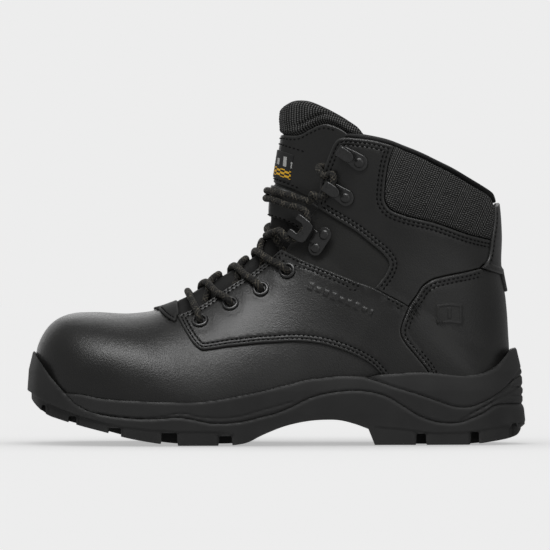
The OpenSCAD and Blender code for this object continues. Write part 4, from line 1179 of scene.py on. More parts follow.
def build_collar(side, tag):
    edge = [Curve(moved(PAD_FRONT, 0.4, 0.4)[:9], side), Curve([(120.4, 131.4), (134.6, 127.7)], side),
            Curve([(134.6, 127.7), (137.2, 139), (137.6, 147.6)], side),
            Curve(moved(PAD_TOP, -0.3, -0.2), side), Curve([(79.7, 183.5), (74.4, 186.2)], side)]
    rise = None
    panel("collar_test", edge, "side", UNDER, 7.6, mesh_cloth, rounding=1.6, grid=3.0, step=2.4, wave=0.0)
    p = PANELS.pop("collar_test")
    rise = (p["uq"], swell(p, 2.6))
    bpy.data.objects.remove(p["obj"])

    def puff(uq, P, d):
        if rise is None:
            r = 1.9 * fade(d, 0, 12)
        else:
            ru, rv = rise
            a, b = skin(*ru.T), skin(*uq.T)
            r = np.empty(len(b))
            for i in range(0, len(b), 1000):
                dd = ((b[i:i + 1000, None] - a[None]) ** 2).sum(2)
                wt = np.exp(-dd / (2 * 2.2 ** 2)) + 1e-12
                r[i:i + 1000] = (wt * rv).sum(1) / wt.sum(1)
            r = r + 0.6 * fade(d, 0, 9)
        return r + 0.16 * np.cos(weave_across(uq, P, d) * 2 * math.pi / 4.4) * fade(d, 0.2, 1.6)
    o = panel("collar_mesh_" + tag, edge, "side", UNDER, 7.4, mesh_cloth, rounding=1.8, grid=1.0, step=0.9,
              wave=0.2, extra=puff,
              attr=(("knit_a", weave_along), ("knit_b", weave_across)))
    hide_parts("collar_mesh")


def tube(name, P, N, half_n, half_b, mat, corners, taper=0, relief=None, power=2.0):
    """A closed roll along points P; half_n is its half size along N, half_b across."""
    T = unit(np.gradient(P, axis=0))
    N = unit(N - (N * T).sum(1)[:, None] * T)
    Bn = np.cross(T, N)
    a = np.arange(corners) * 2 * math.pi / corners
    ca, sa = squared(np.cos(a), 2 / power), squared(np.sin(a), 2 / power)
    n = len(P)
    k = np.ones(n)
    if taper:
        d = travelled(P)
        e = np.minimum(d, d[-1] - d) / taper
        k = np.sqrt(np.clip(1 - (1 - np.clip(e, 0, 1)) ** 2, 0.02, 1))
    r = np.ones((n, corners)) if relief is None else relief(P, a)
    section = N[:, None] * (half_n * ca)[None, :, None] + Bn[:, None] * (half_b * sa)[None, :, None]
    V = P[:, None] + section * (k[:, None] * r)[:, :, None]
    o = make_object(name, V.reshape(-1, 3), loft(n, corners), mat, angle=60)
    return o


def build_binding():
    """The rolled edge of the collar, from one eyestay round the back to the other."""
    top = [(43, 192.5), (46, 192.9), (60, 191.0), (72, 188.2)] + moved(PAD_TOP[::-1], 0.4, 1.15)[:-1]
    t = np.array(smooth(top, 1.0))
    l, m = (place(*t.T, side, 4.2, True) for side in (-1, 1))
    mid = line(l[-1], (20.12, 1.0), m[-1], n=14)
    uq = np.concatenate([l, mid[1:-1], m[::-1]])
    P = relaxed(even(lifted(*uq.T, 3.1), 1.2), 6)
    N = P - [75.0, 0.0, 160.0]
    N[:, 2] = 0
    o = tube("collar_binding", P, unit(N), 3.1, 1.2, lining_cloth, 14, taper=2.0, power=2.4)
    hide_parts("collar_binding")


def build_lining():
    for side, tag in ((-1, "lateral"), (1, "medial")):
        h = 1.2
        back = line(*((u, side * s) for u, s in (
            (0.4, 0.965), (13.6, 0.965), (14.7, 0.985), (15.05, 0.998), (20.05, 0.998))), n=40)
        topl = place(*np.array(smooth(moved(PAD_TOP, 0, -0.4)[1:] + [(72, 186.6)], 1.0)).T, side, h)
        o = panel("lining_" + tag, [
            back, topl, Curve([(72, 186.6), (60, 189.6), (46, 191)], side),
            Curve(eyestay_at(1)[::-1] + [(18.5, 138), (11.5, 127)] + facing_at(1)[::-1]
                  + [(-59, 76.5), (-66.5, 74)], side,
                  crisp=True),
            line(place(-66.5, 74, side, h)[0], (7.25, side * 0.01), (0.4, side * 0.01), n=40),
            line((0.4, side * 0.01), (0.4, side * 0.965), n=30)
        ], "side", 0.0, h, lining_cloth, grid=4.0, step=2.0, rounding=0.5, wave=0.15)
        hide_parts("lining")


# ---------------------------------------------------------------- hooks and eyelets
LOCK_AT, LOCK_TILT = (20, 133), -31
LOCK_RIVETS = [(11, 5), (10.6, -5.4)]
SPEED = [(52.5, 176, -32), (44, 154, -32)]
HOOK_ROOM, PLATE = 4.6, 0.9
CLAW_OUTER = [(-8.8, 3.8), (-8.8, 7.4), (-7.6, 7.9), (0.5, 7.6), (3.4, 6.4), (4.4, 4)]
CLAW_INNER = [(-1.7, 2.2), (-3.2, 3.4), (-7.8, 3.3)]


def face_frame(x, z, side, a, h):
    """Axes and origin on the leather's face at (x, z), turned by a degrees."""
    u, s = find_at(x, z, side, FACE)
    q = side * s
    n = normals(u, q)[0]
    o = skin(u, q)[0] + h * n
    d = np.array([math.cos(math.radians(a)), 0, math.sin(math.radians(a))])
    ex = unit((d - (d @ n) * n)[None])[0]
    ey = np.cross(n, ex)
    if side > 0:
        ey = -ey
    return np.array([ex, ey, n]), o, side


def put(frame_, pts):
    m, o, _ = frame_
    return o + np.asarray(pts, float) @ m


def revolve(profile, n):
    pr = np.array(profile, float)
    a = np.arange(n) * 2 * math.pi / n
    V = np.stack([np.outer(np.cos(a), pr[:, 0]), np.outer(np.sin(a), pr[:, 0]), np.tile(pr[:, 1], (n, 1))], 2)
    k = len(pr)
    F = [(i * k + j, (i + 1) % n * k + j, (i + 1) % n * k + (j + 1) % k, i * k + (j + 1) % k)
         for i in range(n) for j in range(k)]
    return V.reshape(-1, 3), F


def gather(parts):
    """Several meshes as one."""
    V, F, base = [], [], 0
    for v, f in parts:
        V.append(v)
        F += [tuple(i + base for i in t) for t in f]
        base += len(v)
    return np.concatenate(V), F


def fixed(frame_, v, f):
    """Faces turned so that they look outward after placing, mirrored or not."""
    w = put(frame_, v)
    return w, (f if frame_[2] < 0 else [t[::-1] for t in f])


def ring_profile():
    """Eyelet: rolled flange outside, barrel through, small flange inside."""
    b, r = 2.9, 5.3
    mid, half = (b + r) / 2, (r - b) / 2
    out = [(b, -1.0), (b + 1.3, -1.0), (b + 1.3, -0.7), (b + 0.5, -0.6), (b + 0.5, FACE + 0.2),
           (r - 0.1, FACE + 0.15)]
    for k in range(9):
        t = math.pi * (k / 8.0)
        out.append((mid + half * math.cos(t), FACE + 0.35 + 0.95 * math.sin(t)))
    return out


def strip(path, width, thick, n=18):
    """A rounded strip: path of (x, z), half widths, half thickness; returns a closed mesh in hook space."""
    P = np.array([(x, 0, z) for x, z in path], float)
    T = unit(np.gradient(P, axis=0))
    N = np.stack([-T[:, 2], np.zeros(len(P)), T[:, 0]], 1)
    a = np.arange(n) * 2 * math.pi / n
    ca, sa = squared(np.cos(a), 0.55), squared(np.sin(a), 0.8)
    V = [p + np.outer(ca * w, [0, 1, 0]) + np.outer(sa * t, n_) for p, n_, w, t in zip(P, N, width, thick)]
    return np.concatenate(V), loft(len(P), n)


def prism(outline, z0, z1, bevel):
    """A plate with rounded rims from a closed outline in x and y."""
    p = np.array(outline, float)
    if 0.5 * np.sum(p[:, 0] * np.roll(p[:, 1], -1) - np.roll(p[:, 0], -1) * p[:, 1]) < 0:
        p = p[::-1]
    t = unit(np.roll(p, -1, 0) - np.roll(p, 1, 0))
    nrm = np.stack([t[:, 1], -t[:, 0]], 1)
    loops = [(z0, -bevel), (z0 + bevel * 0.3, -bevel * 0.3), (z0 + bevel, 0), (z1 - bevel, 0),
             (z1 - bevel * 0.3, -bevel * 0.3), (z1, -bevel)]
    V = [np.column_stack([p + nrm * o, np.full(len(p), z)]) for z, o in loops]
    return np.concatenate(V), loft(len(loops), len(p))


def circle_hull(circles, n=20):
    """Outline round two circles (x, y, r)."""
    pts = []
    for x, y, r in circles:
        for k in range(n * 2):
            a = math.pi * k / n
            pts.append((x + r * math.cos(a), y + r * math.sin(a)))
    pts = sorted(set(pts))

    def turns_right(a, b, c):
        return (b[0] - a[0]) * (c[1] - a[1]) - (b[1] - a[1]) * (c[0] - a[0]) <= 0

    def half(ps):
        out = []
        for q in ps:
            while len(out) > 1 and turns_right(*out[-2:], q):
                out.pop()
            out.append(q)
        return out[:-1]
    hull = half(pts) + half(pts[::-1])
    h = np.array(hull + hull[:1])
    return even(h, 0.6)[:-1]


def speed_hook_parts():
    r = HOOK_ROOM / 2 + 0.45
    zc = 0.5 + r
    path, width, thick = [], [], []
    for x in np.linspace(5.2, -12.4, 30):
        path.append((x, 0.5))
    for k in range(1, 12):
        a = math.pi * k / 12
        path.append((-12.4 - r * math.sin(a), zc - r * math.cos(a)))
    for x in np.linspace(-12.4, -3.6, 16):
        path.append((x, zc + r + 0.04 * (x + 12.4)))
    for i, (x, z) in enumerate(path):
        if i < 30:
            if x > 0:
                w = math.sqrt(max(5.3 ** 2 - x * x, 0.05))
            else:
                w = 5.3 - 1.55 * min(-x / 12.4, 1) ** 1.1
        elif i < 41:
            w = 3.6
        else:
            w = 3.6 * math.sqrt(max(1 - max((x + 8.2) / 4.7, 0) ** 2, 0.03))
        width.append(w)
        thick.append(0.5 if i < 30 else 0.62)
    return strip(path, width, thick)


def rivet_parts(head_z, foot_z, r=3.1):
    prof = [(0.02, foot_z - 0.7), (r, foot_z - 0.7), (r, foot_z - 0.2), (1.3, foot_z - 0.1), (1.3, head_z),
            (r + 0.1, head_z), (r + 0.15, head_z + 0.35)]
    for k in range(1, 8):
        a = math.pi / 2 * k / 8
        prof.append(((r - 0.1) * math.cos(a) + 0.05, head_z + 0.4 + 1.15 * math.sin(a)))
    prof.append((0.02, head_z + 1.56))
    return revolve(prof, 32)


def build_hardware():
    for side, tag in ((-1, "lateral"), (1, "medial")):
        def metal(name, parts, angle=50):
            o = make_object(name + "_" + tag, *gather(parts), black_metal, angle=angle)
            return o
        o = metal("eyelet_set", [
            fixed(face_frame(x, z, side, 0, 0), *revolve(ring_profile(), 48)) for x, z in EYELETS])
        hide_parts("eyelets_" + tag)
        seats = [face_frame(x, z, side, a, FACE + 0.5) for x, z, a in SPEED]
        o = metal("speed_hook_pair", [fixed(seat, *speed_hook_parts()) for seat in seats], angle=60)
        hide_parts("speed_hooks_" + tag)
        fr = face_frame(*LOCK_AT, side, LOCK_TILT, FACE + 0.3)
        room = HOOK_ROOM + 0.3
        bone = circle_hull([(x, y, 4.8) for x, y in LOCK_RIVETS])
        neck = circle_hull([(4.2, -3.0, 1.0), (4.2, 3.0, 1.0), (9, -3, 1.0), (9, 3, 1.0)])
        claw = np.array(CLAW_OUTER + [(4.4, 0)] + [(x, -y) for x, y in CLAW_OUTER[::-1] + CLAW_INNER[::-1]]
                        + [(-1.4, 0)] + CLAW_INNER)
        claw = even(np.concatenate([claw, claw[:1]]), 0.7)[:-1]
        riser = circle_hull([(3.7, -3.4, 0.6), (3.7, 3.4, 0.6)])
        parts = [prism(bone, 0, PLATE, 0.25), prism(neck, 0.02, PLATE + 0.02, 0.25),
                 prism(riser, 0.3, room + 0.4, 0.2), prism(claw, room - 0.1, room + PLATE + 0.3, 0.6)]
        for k in (-1, 1):
            tip = circle_hull([(-8.2, k * 5.6 - 1.4, 0.6), (-8.2, k * 5.6 + 1.4, 0.6)])
            parts.append(prism(tip, 2.3, room + 0.5, 0.25))
        o = metal("lock_hook_claw", [fixed(fr, *p) for p in parts])
        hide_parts("lock_hook_" + tag)
        v, f = rivet_parts(PLATE, -FACE - 3.4)
        parts = [fixed(fr, v + np.array([x, y, 0]), f) for x, y in LOCK_RIVETS]
        parts += [fixed(seat, *rivet_parts(PLATE + 0.1, -FACE - 1.6)) for seat in seats]
        o = metal("rivet_set", parts)
        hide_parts("hook_rivets_" + tag)


# ---------------------------------------------------------------- lace
LACE_R = 2.0
ON_TOP = FACE + LACE_R + 0.3
BENEATH = -LACE_R - 1.1


def at(u, s, side, h):
    return lifted(u, side * s, h)[0]


def edge_s(u):
    return float(np.interp(u, [7.9, 8.7, 9.1, 9.65, 11], [0.245, 0.22, 0.204, 0.195, 0.198]))


def rest(u, s):
    return float(tongue_top(np.array([u]), np.array([s]))[0]) + LACE_R + 0.7


def eye(k, side):
    u, s = find_at(*EYELETS[k], side, FACE)
    return float(u[0]), float(s[0])


def mix(a, b, t):
    return a + (b - a) * t


def through(k, side):
    u, s = eye(k, side)
    return [at(u, s, side, h) for h in (BENEATH + 0.8, FACE * 0.5, ON_TOP + 0.6)]


def crossing(k, side, where):
    """The lace from an eyelet of one side over the tongue and under the next lower eyelet of the other."""
    p, q = eye(k + 1, side), eye(k, -side)
    top = mix(q[0], p[0], where)
    u1, u2, u3 = (mix(p[0], top, t) for t in (0.2, 0.5, 0.82))
    u4, u5, u6 = (mix(top, q[0], t) for t in (0.3, 0.55, 0.8))
    e = edge_s(u6) - 0.045
    return through(k + 1, side) + [
        at(u1, mix(p[1], edge_s(u2), 0.45), side, ON_TOP + 1.6), at(u2, edge_s(u2) - 0.01, side, ON_TOP),
        at(u3, 0.085, side, ON_TOP + 0.3), at(top, 0, side, rest(top, 0) + 0.5),
        at(u4, 0.05, -side, rest(u4, 0.05) + 1.3), at(u5, 0.1, -side, rest(u5, 0.1) + 1.3),
        at(u6, mix(0.1, e, 0.6), -side, rest(u6, mix(0.1, e, 0.6)) + 1.1), at(u6, e, -side, BENEATH + 0.3),
        at(q[0], mix(e, q[1], 0.6), -side, BENEATH)]


def in_face(x, z, side, a, h, p):
    return put(face_frame(x, z, side, a, h), [p])[0]


def hook_run(side):
    pts = [(-13, -9.6), (-6.6, -10.3), (-3.2, -7.6), (-2, -3.6), (-1.7, 0), (-2, 3.6), (-3.2, 7.6),
           (-6.6, 10.3), (-13, 9.6)]
    return [in_face(*LOCK_AT, side, LOCK_TILT, FACE + 0.3, (x, y, LACE_R + 0.35)) for x, y in pts]


def speed_run(side):
    pts = [(-19, -9.6, 2.2), (-14, -8.6, 2.6), (-11.4, -5, 3.2), (-10.8, -1.6, 3.2), (-10.8, 1.8, 3.2),
           (-11.8, 5.2, 3), (-15, 8.4, 2.6)]
    x, z, a = SPEED[1]
    return [in_face(x, z, side, a, FACE + 0.5, p) for p in pts]


def tail(side):
    return [at(u, s, side, h) for u, s, h in (
        (18.55, 0.29, 9.4), (18.7, 0.268, 7.4), (18.78, 0.258, 3.2), (18.82, 0.263, -0.6), (18.88, 0.28, -2.5),
        (18.95, 0.305, -2.6))]


def to_hook(side, top):
    p, e, h = eye(3, side), edge_s(10.8) - 0.045, 6 + LACE_R + 0.5
    return [at(p[0], mix(e, p[1], 0.6), side, BENEATH), at(10.8, e, side, BENEATH + 0.3),
            at(10.85, mix(0.1, e, 0.6), side, rest(10.85, mix(0.1, e, 0.6)) + 0.7),
            at(mix(10.9, top, 0.5), 0.07, side, rest(11, 0.07) + 0.6), at(top, 0, side, h),
            at(mix(top, 12.6, 0.45), 0.08, -side, h + 0.6), at(mix(top, 12.6, 0.8), 0.14, -side, h + 0.4)]


def to_speed(side, top):
    h = 6 * 1.18 + LACE_R + 0.5
    return [at(mix(15.9, top, 0.3), 0.17, side, h), at(mix(15.9, top, 0.7), 0.08, side, h + 0.1),
            at(top, 0, side, h + 0.1),
            at(mix(top, 16.4, 0.35), 0.08, -side, h + 0.1), at(mix(top, 16.6, 0.8), 0.18, -side, h),
            at(16.8, 0.25, -side, ON_TOP)]


def lace_way():
    """The whole course of the lace, from one tucked end to the other."""
    r = reversed
    bar = []
    p = eye(0, 1)
    bar.append(at(p[0] - 0.02, mix(p[1], 0.245, 0.5), 1, ON_TOP + 1.4))
    bar += [at(7.97, 0.13, 1, ON_TOP + 0.2), at(7.95, 0, 1, rest(7.95, 0) + 0.3),
            at(7.97, 0.13, -1, ON_TOP + 0.2)]
    p = eye(0, -1)
    bar.append(at(p[0] - 0.02, mix(p[1], 0.245, 0.5), -1, ON_TOP + 1.4))
    return np.array([
        *r(tail(-1)), *r(speed_run(-1)), *r(to_speed(1, 15.85)), *r(hook_run(1)), *r(to_hook(-1, 11.8)),
        *crossing(2, -1, 0.45), *crossing(1, 1, 0.92), *crossing(0, -1, 0.45), *through(0, 1), *bar,
        *r(through(0, -1)), *r(crossing(0, 1, 0.92)), *r(crossing(1, -1, 0.45)), *r(crossing(2, 1, 0.92)),
        *to_hook(1, 10.87), *hook_run(-1), *to_speed(-1, 15.3), *speed_run(1), *tail(1)])


def build_lace():
    way = even(relaxed(even(smooth(lace_way(), 0.8), 0.46), 4), 0.46)
    T = unit(np.gradient(way, axis=0))
    N = [np.array([0.1, 0.2, 1.0])]
    for t in T:
        n = N[-1] - (N[-1] @ t) * t
        N.append(n / np.linalg.norm(n))
    N = np.array(N[1:])
    length = travelled(way)
    pitch = 4.6

    def strands(a):
        L, A = np.meshgrid(length, a, indexing="ij")
        return 4 * A + 2 * math.pi * L / pitch * 2, 4 * A - 2 * math.pi * L / pitch * 2

    def crown(a):
        f1, f2 = strands(a)
        return np.maximum(np.cos(f1), np.cos(f2))

    def relief(P, a):
        return 1.03 + 0.13 * (crown(a) - 0.6)
    corners = 24
    o = tube("lace", way, N, LACE_R, LACE_R, lace_cord, corners, relief=relief)
    a = np.arange(corners) * 2 * math.pi / corners
    f1, f2 = strands(a)
    pick1 = (np.floor(f1 / (2 * math.pi)) % 3 == 1) & (np.cos(f1) > 0.2)
    pick2 = (np.floor(f2 / (2 * math.pi)) % 4 == 2) & (np.cos(f2) > 0.3)
    ridge = fade(crown(a), 0.0, 1.0)
    # Flecks of paler thread on some crowns; the hollows between strands get zero, a painted shade.
    attribute(o, "fleck_and_strand_shade", (0.22 * ridge + 0.78 * ridge * (pick1 | pick2)).reshape(-1))
    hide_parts("lace")


# ---------------------------------------------------------------- sole
GROOVE = [
    (-110, 19.5), (-100, 18), (-90, 17), (-80, 16.5), (-70, 17), (-60, 17.5), (-50, 16), (-40, 14),
    (-30, 14), (-20, 15), (-10, 17.5), (0, 20), (10, 24), (20, 29), (30, 32), (40, 33.5), (50, 34),
    (60, 33), (70, 30), (80, 24), (90, 18), (100, 14.5), (108, 13.5), (115, 14), (120, 15.5), (130, 20),
    (136, 24), (140, 25), (160, 25)]
BUMPER = [(-165, 57), (-151, 57), (-140, 42), (-131, 32), (-125, 26), (-118, 22)]
TREAD = [
    (160, 12), (155, 11), (151.6, 6), (147, 4), (130, 1), (120, 0), (62, 0), (58, 10), (50, 13), (40, 15.5),
    (30, 15.8), (20, 15), (9, 12.8), (2, 10.6), (-9, 6), (-17, 2), (-25, 0.4), (-36, 0), (-60, 0),
    (-80, 2.4), (-96, 5.6), (-105, 8), (-121, 12), (-135, 16), (-143, 19), (-152, 27), (-154, 31),
    (-165, 33)]
SLOTS = [
    (-146, -143.3, 24.5), (-129, -124, 18), (-104, -96, 11), (-71, -61, 8), (-35, -27, 6), (88, 94, 7),
    (122, 127, 8), (147.5, 151, 13)]
FEATHER = [
    (57, 42.5), (40, 43), (30, 42), (20, 41), (10, 38.5), (0, 36), (-10, 33.5), (-20, 31.5), (-30, 29.5),
    (-40, 28), (-50, 27), (-70, 27.2), (-90, 28), (-100, 28.5), (-110, 29.5), (-120, 31.5), (-131, 32.3)]
CUP_LOW = [
    (57, 42), (65, 39.5), (75, 36), (90, 31.5), (100, 28), (110, 24.5), (117, 23.5), (122, 24), (130, 27),
    (140, 33), (150, 41), (165, 46)]
CUP_TOP = [
    (165, 60), (148, 59), (143, 54), (138, 49), (130, 45), (120, 43.5), (110, 44), (90, 45.5), (75, 44.5),
    (65, 44)]
BAND = [
    (-118, 22), (-110, 19.9), (-100, 18.4), (-90, 17.4), (-80, 17.2), (-70, 18.2), (-62, 19.8), (-55, 19.7),
    (-48, 18), (-40, 17.2), (-30, 17.2), (-20, 18.6), (-10, 21.5), (0, 24.3), (10, 27)]
HEEL_A = [(116, 15.5), (126.8, 21.9), (140, 29.3), (153, 35.7), (165, 41)]
HEEL_B = [(122, 19.5), (130, 23.5), (137, 28.5), (145, 36), (152, 44.5), (160, 52)]
LUG_TOP = [
    (-165, 33), (-154, 32.5), (-143, 26), (-133, 22), (-120, 17.5), (-104, 13.5), (-96, 12), (-80, 10),
    (-60, 9), (-36, 8.6), (-25, 8)]


def sole_rim():
    """The sole's outline from above, its outward normals, and how far its wall stands proud of it."""
    out = []
    us = np.linspace(0, 14.6, 300)
    for side in (1, -1):
        uu = us if side > 0 else us[::-1]
        p = skin(uu, side * 1.0)
        q = skin(np.minimum(uu + 0.04, 15), side * 1.0) - skin(np.maximum(uu - 0.04, 0), side * 1.0)
        n = unit(np.stack([-side * q[:, 1], side * q[:, 0]], 1))
        e = 9 + 5 * fade(2.2 - uu, 0, 2.2) + 8.4 * fade(uu, 12.6, 14.6)
        out.append(p[:, :2] + e[:, None] * n)
    p = np.concatenate(out)
    side = np.concatenate([np.ones(len(us)), -np.ones(len(us))])
    u = np.concatenate([us, us[::-1]])
    proud = fade(u, 6.5, 9) * (1 - fade(u, 13.2, 14.4)) * np.where(side < 0, 2.6, 5 - 1.75 * fade(u, 10, 11.5))
    p = np.column_stack([p, proud])
    p = even(np.concatenate([p, p[:1]]), 1.15)[:-1]
    for _ in range(10):
        p = relaxed_loop(p)
    p, proud = p[:, :2], p[:, 2]
    t = unit(np.roll(p, -1, 0) - np.roll(p, 1, 0))
    n = np.stack([t[:, 1], -t[:, 0]], 1)
    if (n * (p - p.mean(0))).sum() < 0:
        n = -n
    for _ in range(8):
        n = unit(relaxed_loop(n))
    return p, n, proud


def sole_wall():
    p, n, proud = sole_rim()
    zs = np.arange(-2, 62.5, 0.75)
    N, M = len(p), len(zs)
    z = np.repeat(zs, N)
    x = np.tile(p[:, 0], M)

    def off_line(points, step):
        return near(np.stack([x, z], 1), even(smooth(points, 1.0), step))
    off = np.interp(z, [-2, 8, 20, 34, 46, 62], [-1.2, -0.4, 0.2, 0.4, -0.4, -4.2])
    off += np.tile(proud, M) * fade(z, 8, 40)
    for valley, depth, wide in ((GROOVE, 1.0, 0.8), (BAND, 0.55, 0.6), (CUP_LOW, 0.9, 0.8),
                                (HEEL_A, 0.7, 0.7), (HEEL_B, 0.6, 0.6)):
        off -= depth * np.exp(-(off_line(valley, 1.0) / wide) ** 2)
    back = fade(x, 143, 150)
    off += np.interp(z, [10, 12, 22, 24.5], [0, 2.4, 0.9, 0]) * fade(x, 139, 150)
    for zz in (30.5, 35.5):
        off -= 0.8 * np.exp(-((z - zz) / 0.8) ** 2) * back
    for rim, r in ((FEATHER, 1.6), (CUP_TOP, 1.6), (BUMPER[:6], 1.4)):
        off -= round_off(off_line(rim, 0.8), r)
    lug = np.interp(x, [a for a, b in LUG_TOP], [b for a, b in LUG_TOP])
    off -= (1.9 * fade(-x, 95, 135) + 0.55) * fade(lug - z, -0.5, 0.8) * fade(-x, 20, 40)
    heel_lug = np.interp(x, [60, 80, 100, 120, 140, 152], [12, 10, 7.5, 8, 11, 14])
    off -= 0.5 * fade(heel_lug - z, -0.4, 0.8) * fade(x, 60, 66)
    for a, b, t in SLOTS:
        off -= 0.9 * np.exp(-((np.abs(x - (a + b) / 2) - (b - a) / 2) / 0.7) ** 2) * (z < t + 0.5)
    V = np.column_stack([x + np.tile(n[:, 0], M) * off, np.tile(p[:, 1], M) + np.tile(n[:, 1], M) * off, z])
    return V, loft(M, N)


def raw(name, V, F):
    o = bare(name, V, F)
    o.data.update()
    outward(o.data, triangles=True)
    return o


def cut_prism(name, outline, y0=-90, y1=90):
    p = np.array(outline, float)
    V = np.concatenate([np.column_stack([p[:, 0], np.full(len(p), y), p[:, 1]]) for y in (y0, y1)])
    return raw(name, V, loft(2, len(p)))


def boolean(o, other, op):
    m = o.modifiers.new("cut", "BOOLEAN")
    m.operation = op
    m.solver = "MANIFOLD"
    m.object = other
    dg = bpy.context.evaluated_depsgraph_get()
    me = bpy.data.meshes.new_from_object(o.evaluated_get(dg))
    o.modifiers.remove(m)
    o.data = me
    return o


def skin_volume(name, h):
    """The room inside the skin lifted by h, as a solid to cut with."""
    us = np.concatenate([[0], np.arange(0.25, 16.6, 0.25)])
    ss = np.linspace(1, 0, 25)
    loops = []
    for u in us:
        k = 0.996 if u > 14.8 else 1.0
        q = np.concatenate([-ss * k, ss[::-1][1:] * k])
        loops.append(lifted(np.full(len(q), u), q, h))
    return raw(name, np.concatenate(loops), loft(len(us), len(loops[0])))


def slab(name, u0, u1, inset, c0, c1, mat, relief):
    """A soft layer on the boot's floor, with rounded edges and a shallow relief on top."""
    us = np.linspace(u0, u1, 150)
    ts = np.linspace(-1, 1, 49)
    a, b = skin(us, -1.0), skin(us, 1.0)
    x, mid = a[:, 0], (a[:, 1] + b[:, 1]) / 2
    half = (b[:, 1] - a[:, 1]) / 2 - inset
    run = np.minimum(x - x[0], x[-1] - x)
    t = np.sin(ts * math.pi / 2)
    r = min(1.6, (c1 - c0) * 0.45)
    X = np.repeat(x, len(ts)).reshape(len(us), -1)
    Y = mid[:, None] + half[:, None] * t
    edge = np.minimum(half[:, None] * (1 - np.abs(t)), run[:, None] * 1.2)
    drop = round_off(edge, r)
    top = a[:, 2:3] + c1 - drop + relief(X, Y, edge)
    low = a[:, 2:3] + c0 + drop * 0.5 + 0 * X
    m = X.size
    V = np.concatenate([np.stack([X, Y, Z], 2).reshape(-1, 3) for Z in (top, low)])
    n, last = len(ts), len(us) - 1
    quads = [(i * n + j, i * n + j + 1, (i + 1) * n + j + 1, (i + 1) * n + j) for i in range(last)
             for j in range(n - 1)]
    F = [q[::-1] for q in quads] + [tuple(k + m for k in q) for q in quads]
    rim = ([(i * n, (i + 1) * n) for i in range(last)]
           + [((i + 2) * n - 1, (i + 1) * n - 1) for i in range(last)]
           + [(j + 1, j) for j in range(n - 1)] + [(last * n + j, last * n + j + 1) for j in range(n - 1)])
    F += [(i, j, j + m, i + m) for i, j in rim]
    o = make_object(name, V, F, mat, "footbed")
    outward(o.data)
    return o


def build_footbed():
    def cells(X, Y, e):
        raised = np.cos(X * 2 * math.pi / 9) * np.cos((Y + X * 0.5) * 2 * math.pi / 9) > 0.35
        return -0.25 * raised * fade(e, 3, 6)

    def weave(X, Y, e):
        stitched = np.exp(-((e - 3.2) / 0.5) ** 2)
        return 0.15 * fade(e, 0, 10) - 0.25 * stitched
    o = slab("footbed_foam_layer", 0.5, 14.2, 0.8, 2.5, 6.4, foam_mat, cells)
    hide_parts("footbed_foam")
    o = slab("footbed_cover_cloth", 0.5, 14.2, 0.8, 6.5, 7.5, lining_cloth, weave)
    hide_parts("footbed_cover")


def build_collar_foam():
    front = moved(PAD_FRONT, 0.8, 0.6)
    top = moved(PAD_TOP, -0.6, -0.9)
    low, high = both(*front[-1], 4.9, True), both(*top[0], 4.9, True)
    o = panel("collar_foam_pad", [
        Curve(front, -1), line(low[0], (18.75, 1.0), low[1]), Curve(front[::-1], 1),
        Curve([front[0], top[-1]], 1),
        Curve(top[::-1], 1), line(high[1], (19.95, 1.0), high[0]), Curve(top, -1),
        Curve([top[-1], front[0]], -1)
    ], "heel", 1.5, 4.9, foam_mat, grid=3.0, step=2.0, rounding=1.6, pillow=1.2, wave=0.2)
    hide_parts("collar_foam")


def sm(points, step=1.5):
    return [tuple(p) for p in even(smooth(points, 1.0), step)]


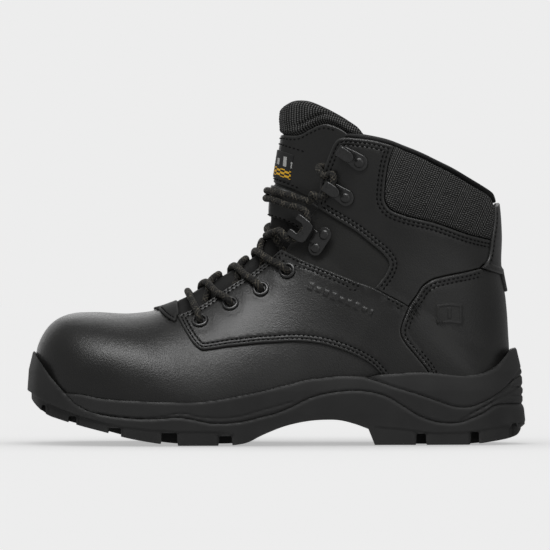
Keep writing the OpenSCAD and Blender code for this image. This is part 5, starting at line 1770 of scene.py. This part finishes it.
def build_sole():
    V, F = sole_wall()
    wall = raw("wall", V, F)
    inner = skin_volume("inner", 5.15)
    outer = skin_volume("outer", 7.2)
    behind = cut_prism("behind", moved(sm(QUARTER_LOW[1:]), -0.3, -0.3)
                       + [(-61, 200), (170, 200), (170, 20), (56, 20), (56, 50)])
    boolean(outer, behind, "INTERSECT")
    slots = []
    for a, b, t in SLOTS:
        c = 0.9
        notch = [(a - c, -3), (a, 1.2 + t * 0.25), (a, t - 1), (a + 0.8, t), (b - 0.8, t), (b, t - 1),
                 (b, 1.2 + t * 0.25), (b + c, -3)]
        slots += [cut_prism("slot", notch, -90, -15), cut_prism("slot", notch, 13, 90)]
    for y in (-15, 13):
        for x0, x1, yy, top in ((-128, -25, y, 11), (62, 146, y * 0.75, 7)):
            g = 2.5
            half = [(g + 0.8, -3), (g, top - 1.2), (g - 0.9, top)]
            across = [(-d, z) for d, z in half] + half[::-1]
            corners = np.array([(x, yy + d, z) for x in (x0, x1) for d, z in across])
            slots.append(raw("rill", corners, loft(2, 6)))
    shank = [(-36, 21.2), (-10, 25.4), (24, 33.4), (62, 36.9), (74, 37)]
    pocket = cut_prism("pocket", moved(shank, 0, 0.4) + moved(shank[::-1], 0, -1.8), -8.2, 8.2)
    jobs = {
        "outsole": (BUMPER[:-1] + sm(BUMPER[-1:] + GROOVE)
                    + [(x, max(z, 0)) for x, z in sm(TREAD[:5]) + TREAD[5:7] + sm(TREAD[7:])], slots),
        "midsole": ([(-131, 32.3), (-125, 26.3), (-118, 22.3)] + moved(sm(GROOVE), 0, 0.3)
                    + moved(sm(CUP_LOW)[::-1], 0, -0.3) + sm(FEATHER), [pocket]),
        "heel_stabiliser": (sm(CUP_LOW) + sm(CUP_TOP), [pocket]),
    }
    for name, (outline, cuts) in jobs.items():
        o = wall.copy()
        o.data = wall.data.copy()
        o.name = name + "_moulded"
        scene.collection.objects.link(o)
        pr = cut_prism("prism", outline)
        boolean(o, pr, "INTERSECT")
        for c in [inner, outer] + cuts:
            boolean(o, c, "DIFFERENCE")
        bpy.data.objects.remove(pr)
        dress(o, rubber, 38)
        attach(o, "boot")
        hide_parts(name)
    for o in [wall, inner, outer, behind, pocket] + slots:
        bpy.data.objects.remove(o)


build_tongue()
for side, tag in ((-1, "lateral"), (1, "medial")):
    build_collar(side, tag)
build_binding()
build_lining()
build_hardware()
build_lace()
build_sole()
build_footbed()
build_collar_foam()
finish_sewing()

# Hidden CAD pieces keep their shape and take these materials
for name, mat in (("steel_toe_cap", steel), ("shank", steel), ("insole_board", board),
                  ("heel_counter", counter_board)):
    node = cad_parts[name]
    for k in range(len(node.data.materials)):
        node.data.materials[k] = mat

# ---------------------------------------------------------------- floor
bpy.ops.mesh.primitive_plane_add(size=8, location=(0, 0, -0.0004))
floor = bpy.context.object
floor.name = "floor"


def floor_nodes(k):
    """Pale, and even all over but for a painted contact shadow: part glow, part the sky's own light, which the
    boot shades softly; near the boot ambient occlusion darkens the glow, painting the contact shadow.
    """
    seen = k.add("ShaderNodeLightPath")
    # Ambient occlusion darkens the glow near the boot: a painted contact shadow.
    painted_contact_shadow = k.add("ShaderNodeAmbientOcclusion", samples=8, Distance=0.12)
    shade = Value(k.nt, painted_contact_shadow.outputs["AO"]).carry(0.45, 1.0, 0.7, 1.0)
    glow = Value(k.nt, seen.outputs["Is Camera Ray"]).carry(0.0, 1.0, 0.12, 1.0).socket.node
    k.nt.links.new((shade * (PALE - 0.95 * SKY)).socket, glow.inputs["To Max"])
    k.nt.links.new(glow.outputs["Result"], k.shader.inputs["Emission Strength"])
    k.shader.inputs["Emission Color"].default_value = (1, 1, 1, 1)


floor.data.materials.append(material("floor", grey(0.95), 1.0, floor_nodes, spec=0.0))
lit = bpy.data.collections.new("not_the_floor")
lit.objects.link(floor)
for light in LIGHTS:
    light.light_linking.receiver_collection = lit
for member in lit.collection_objects:
    member.light_linking.link_state = "EXCLUDE"
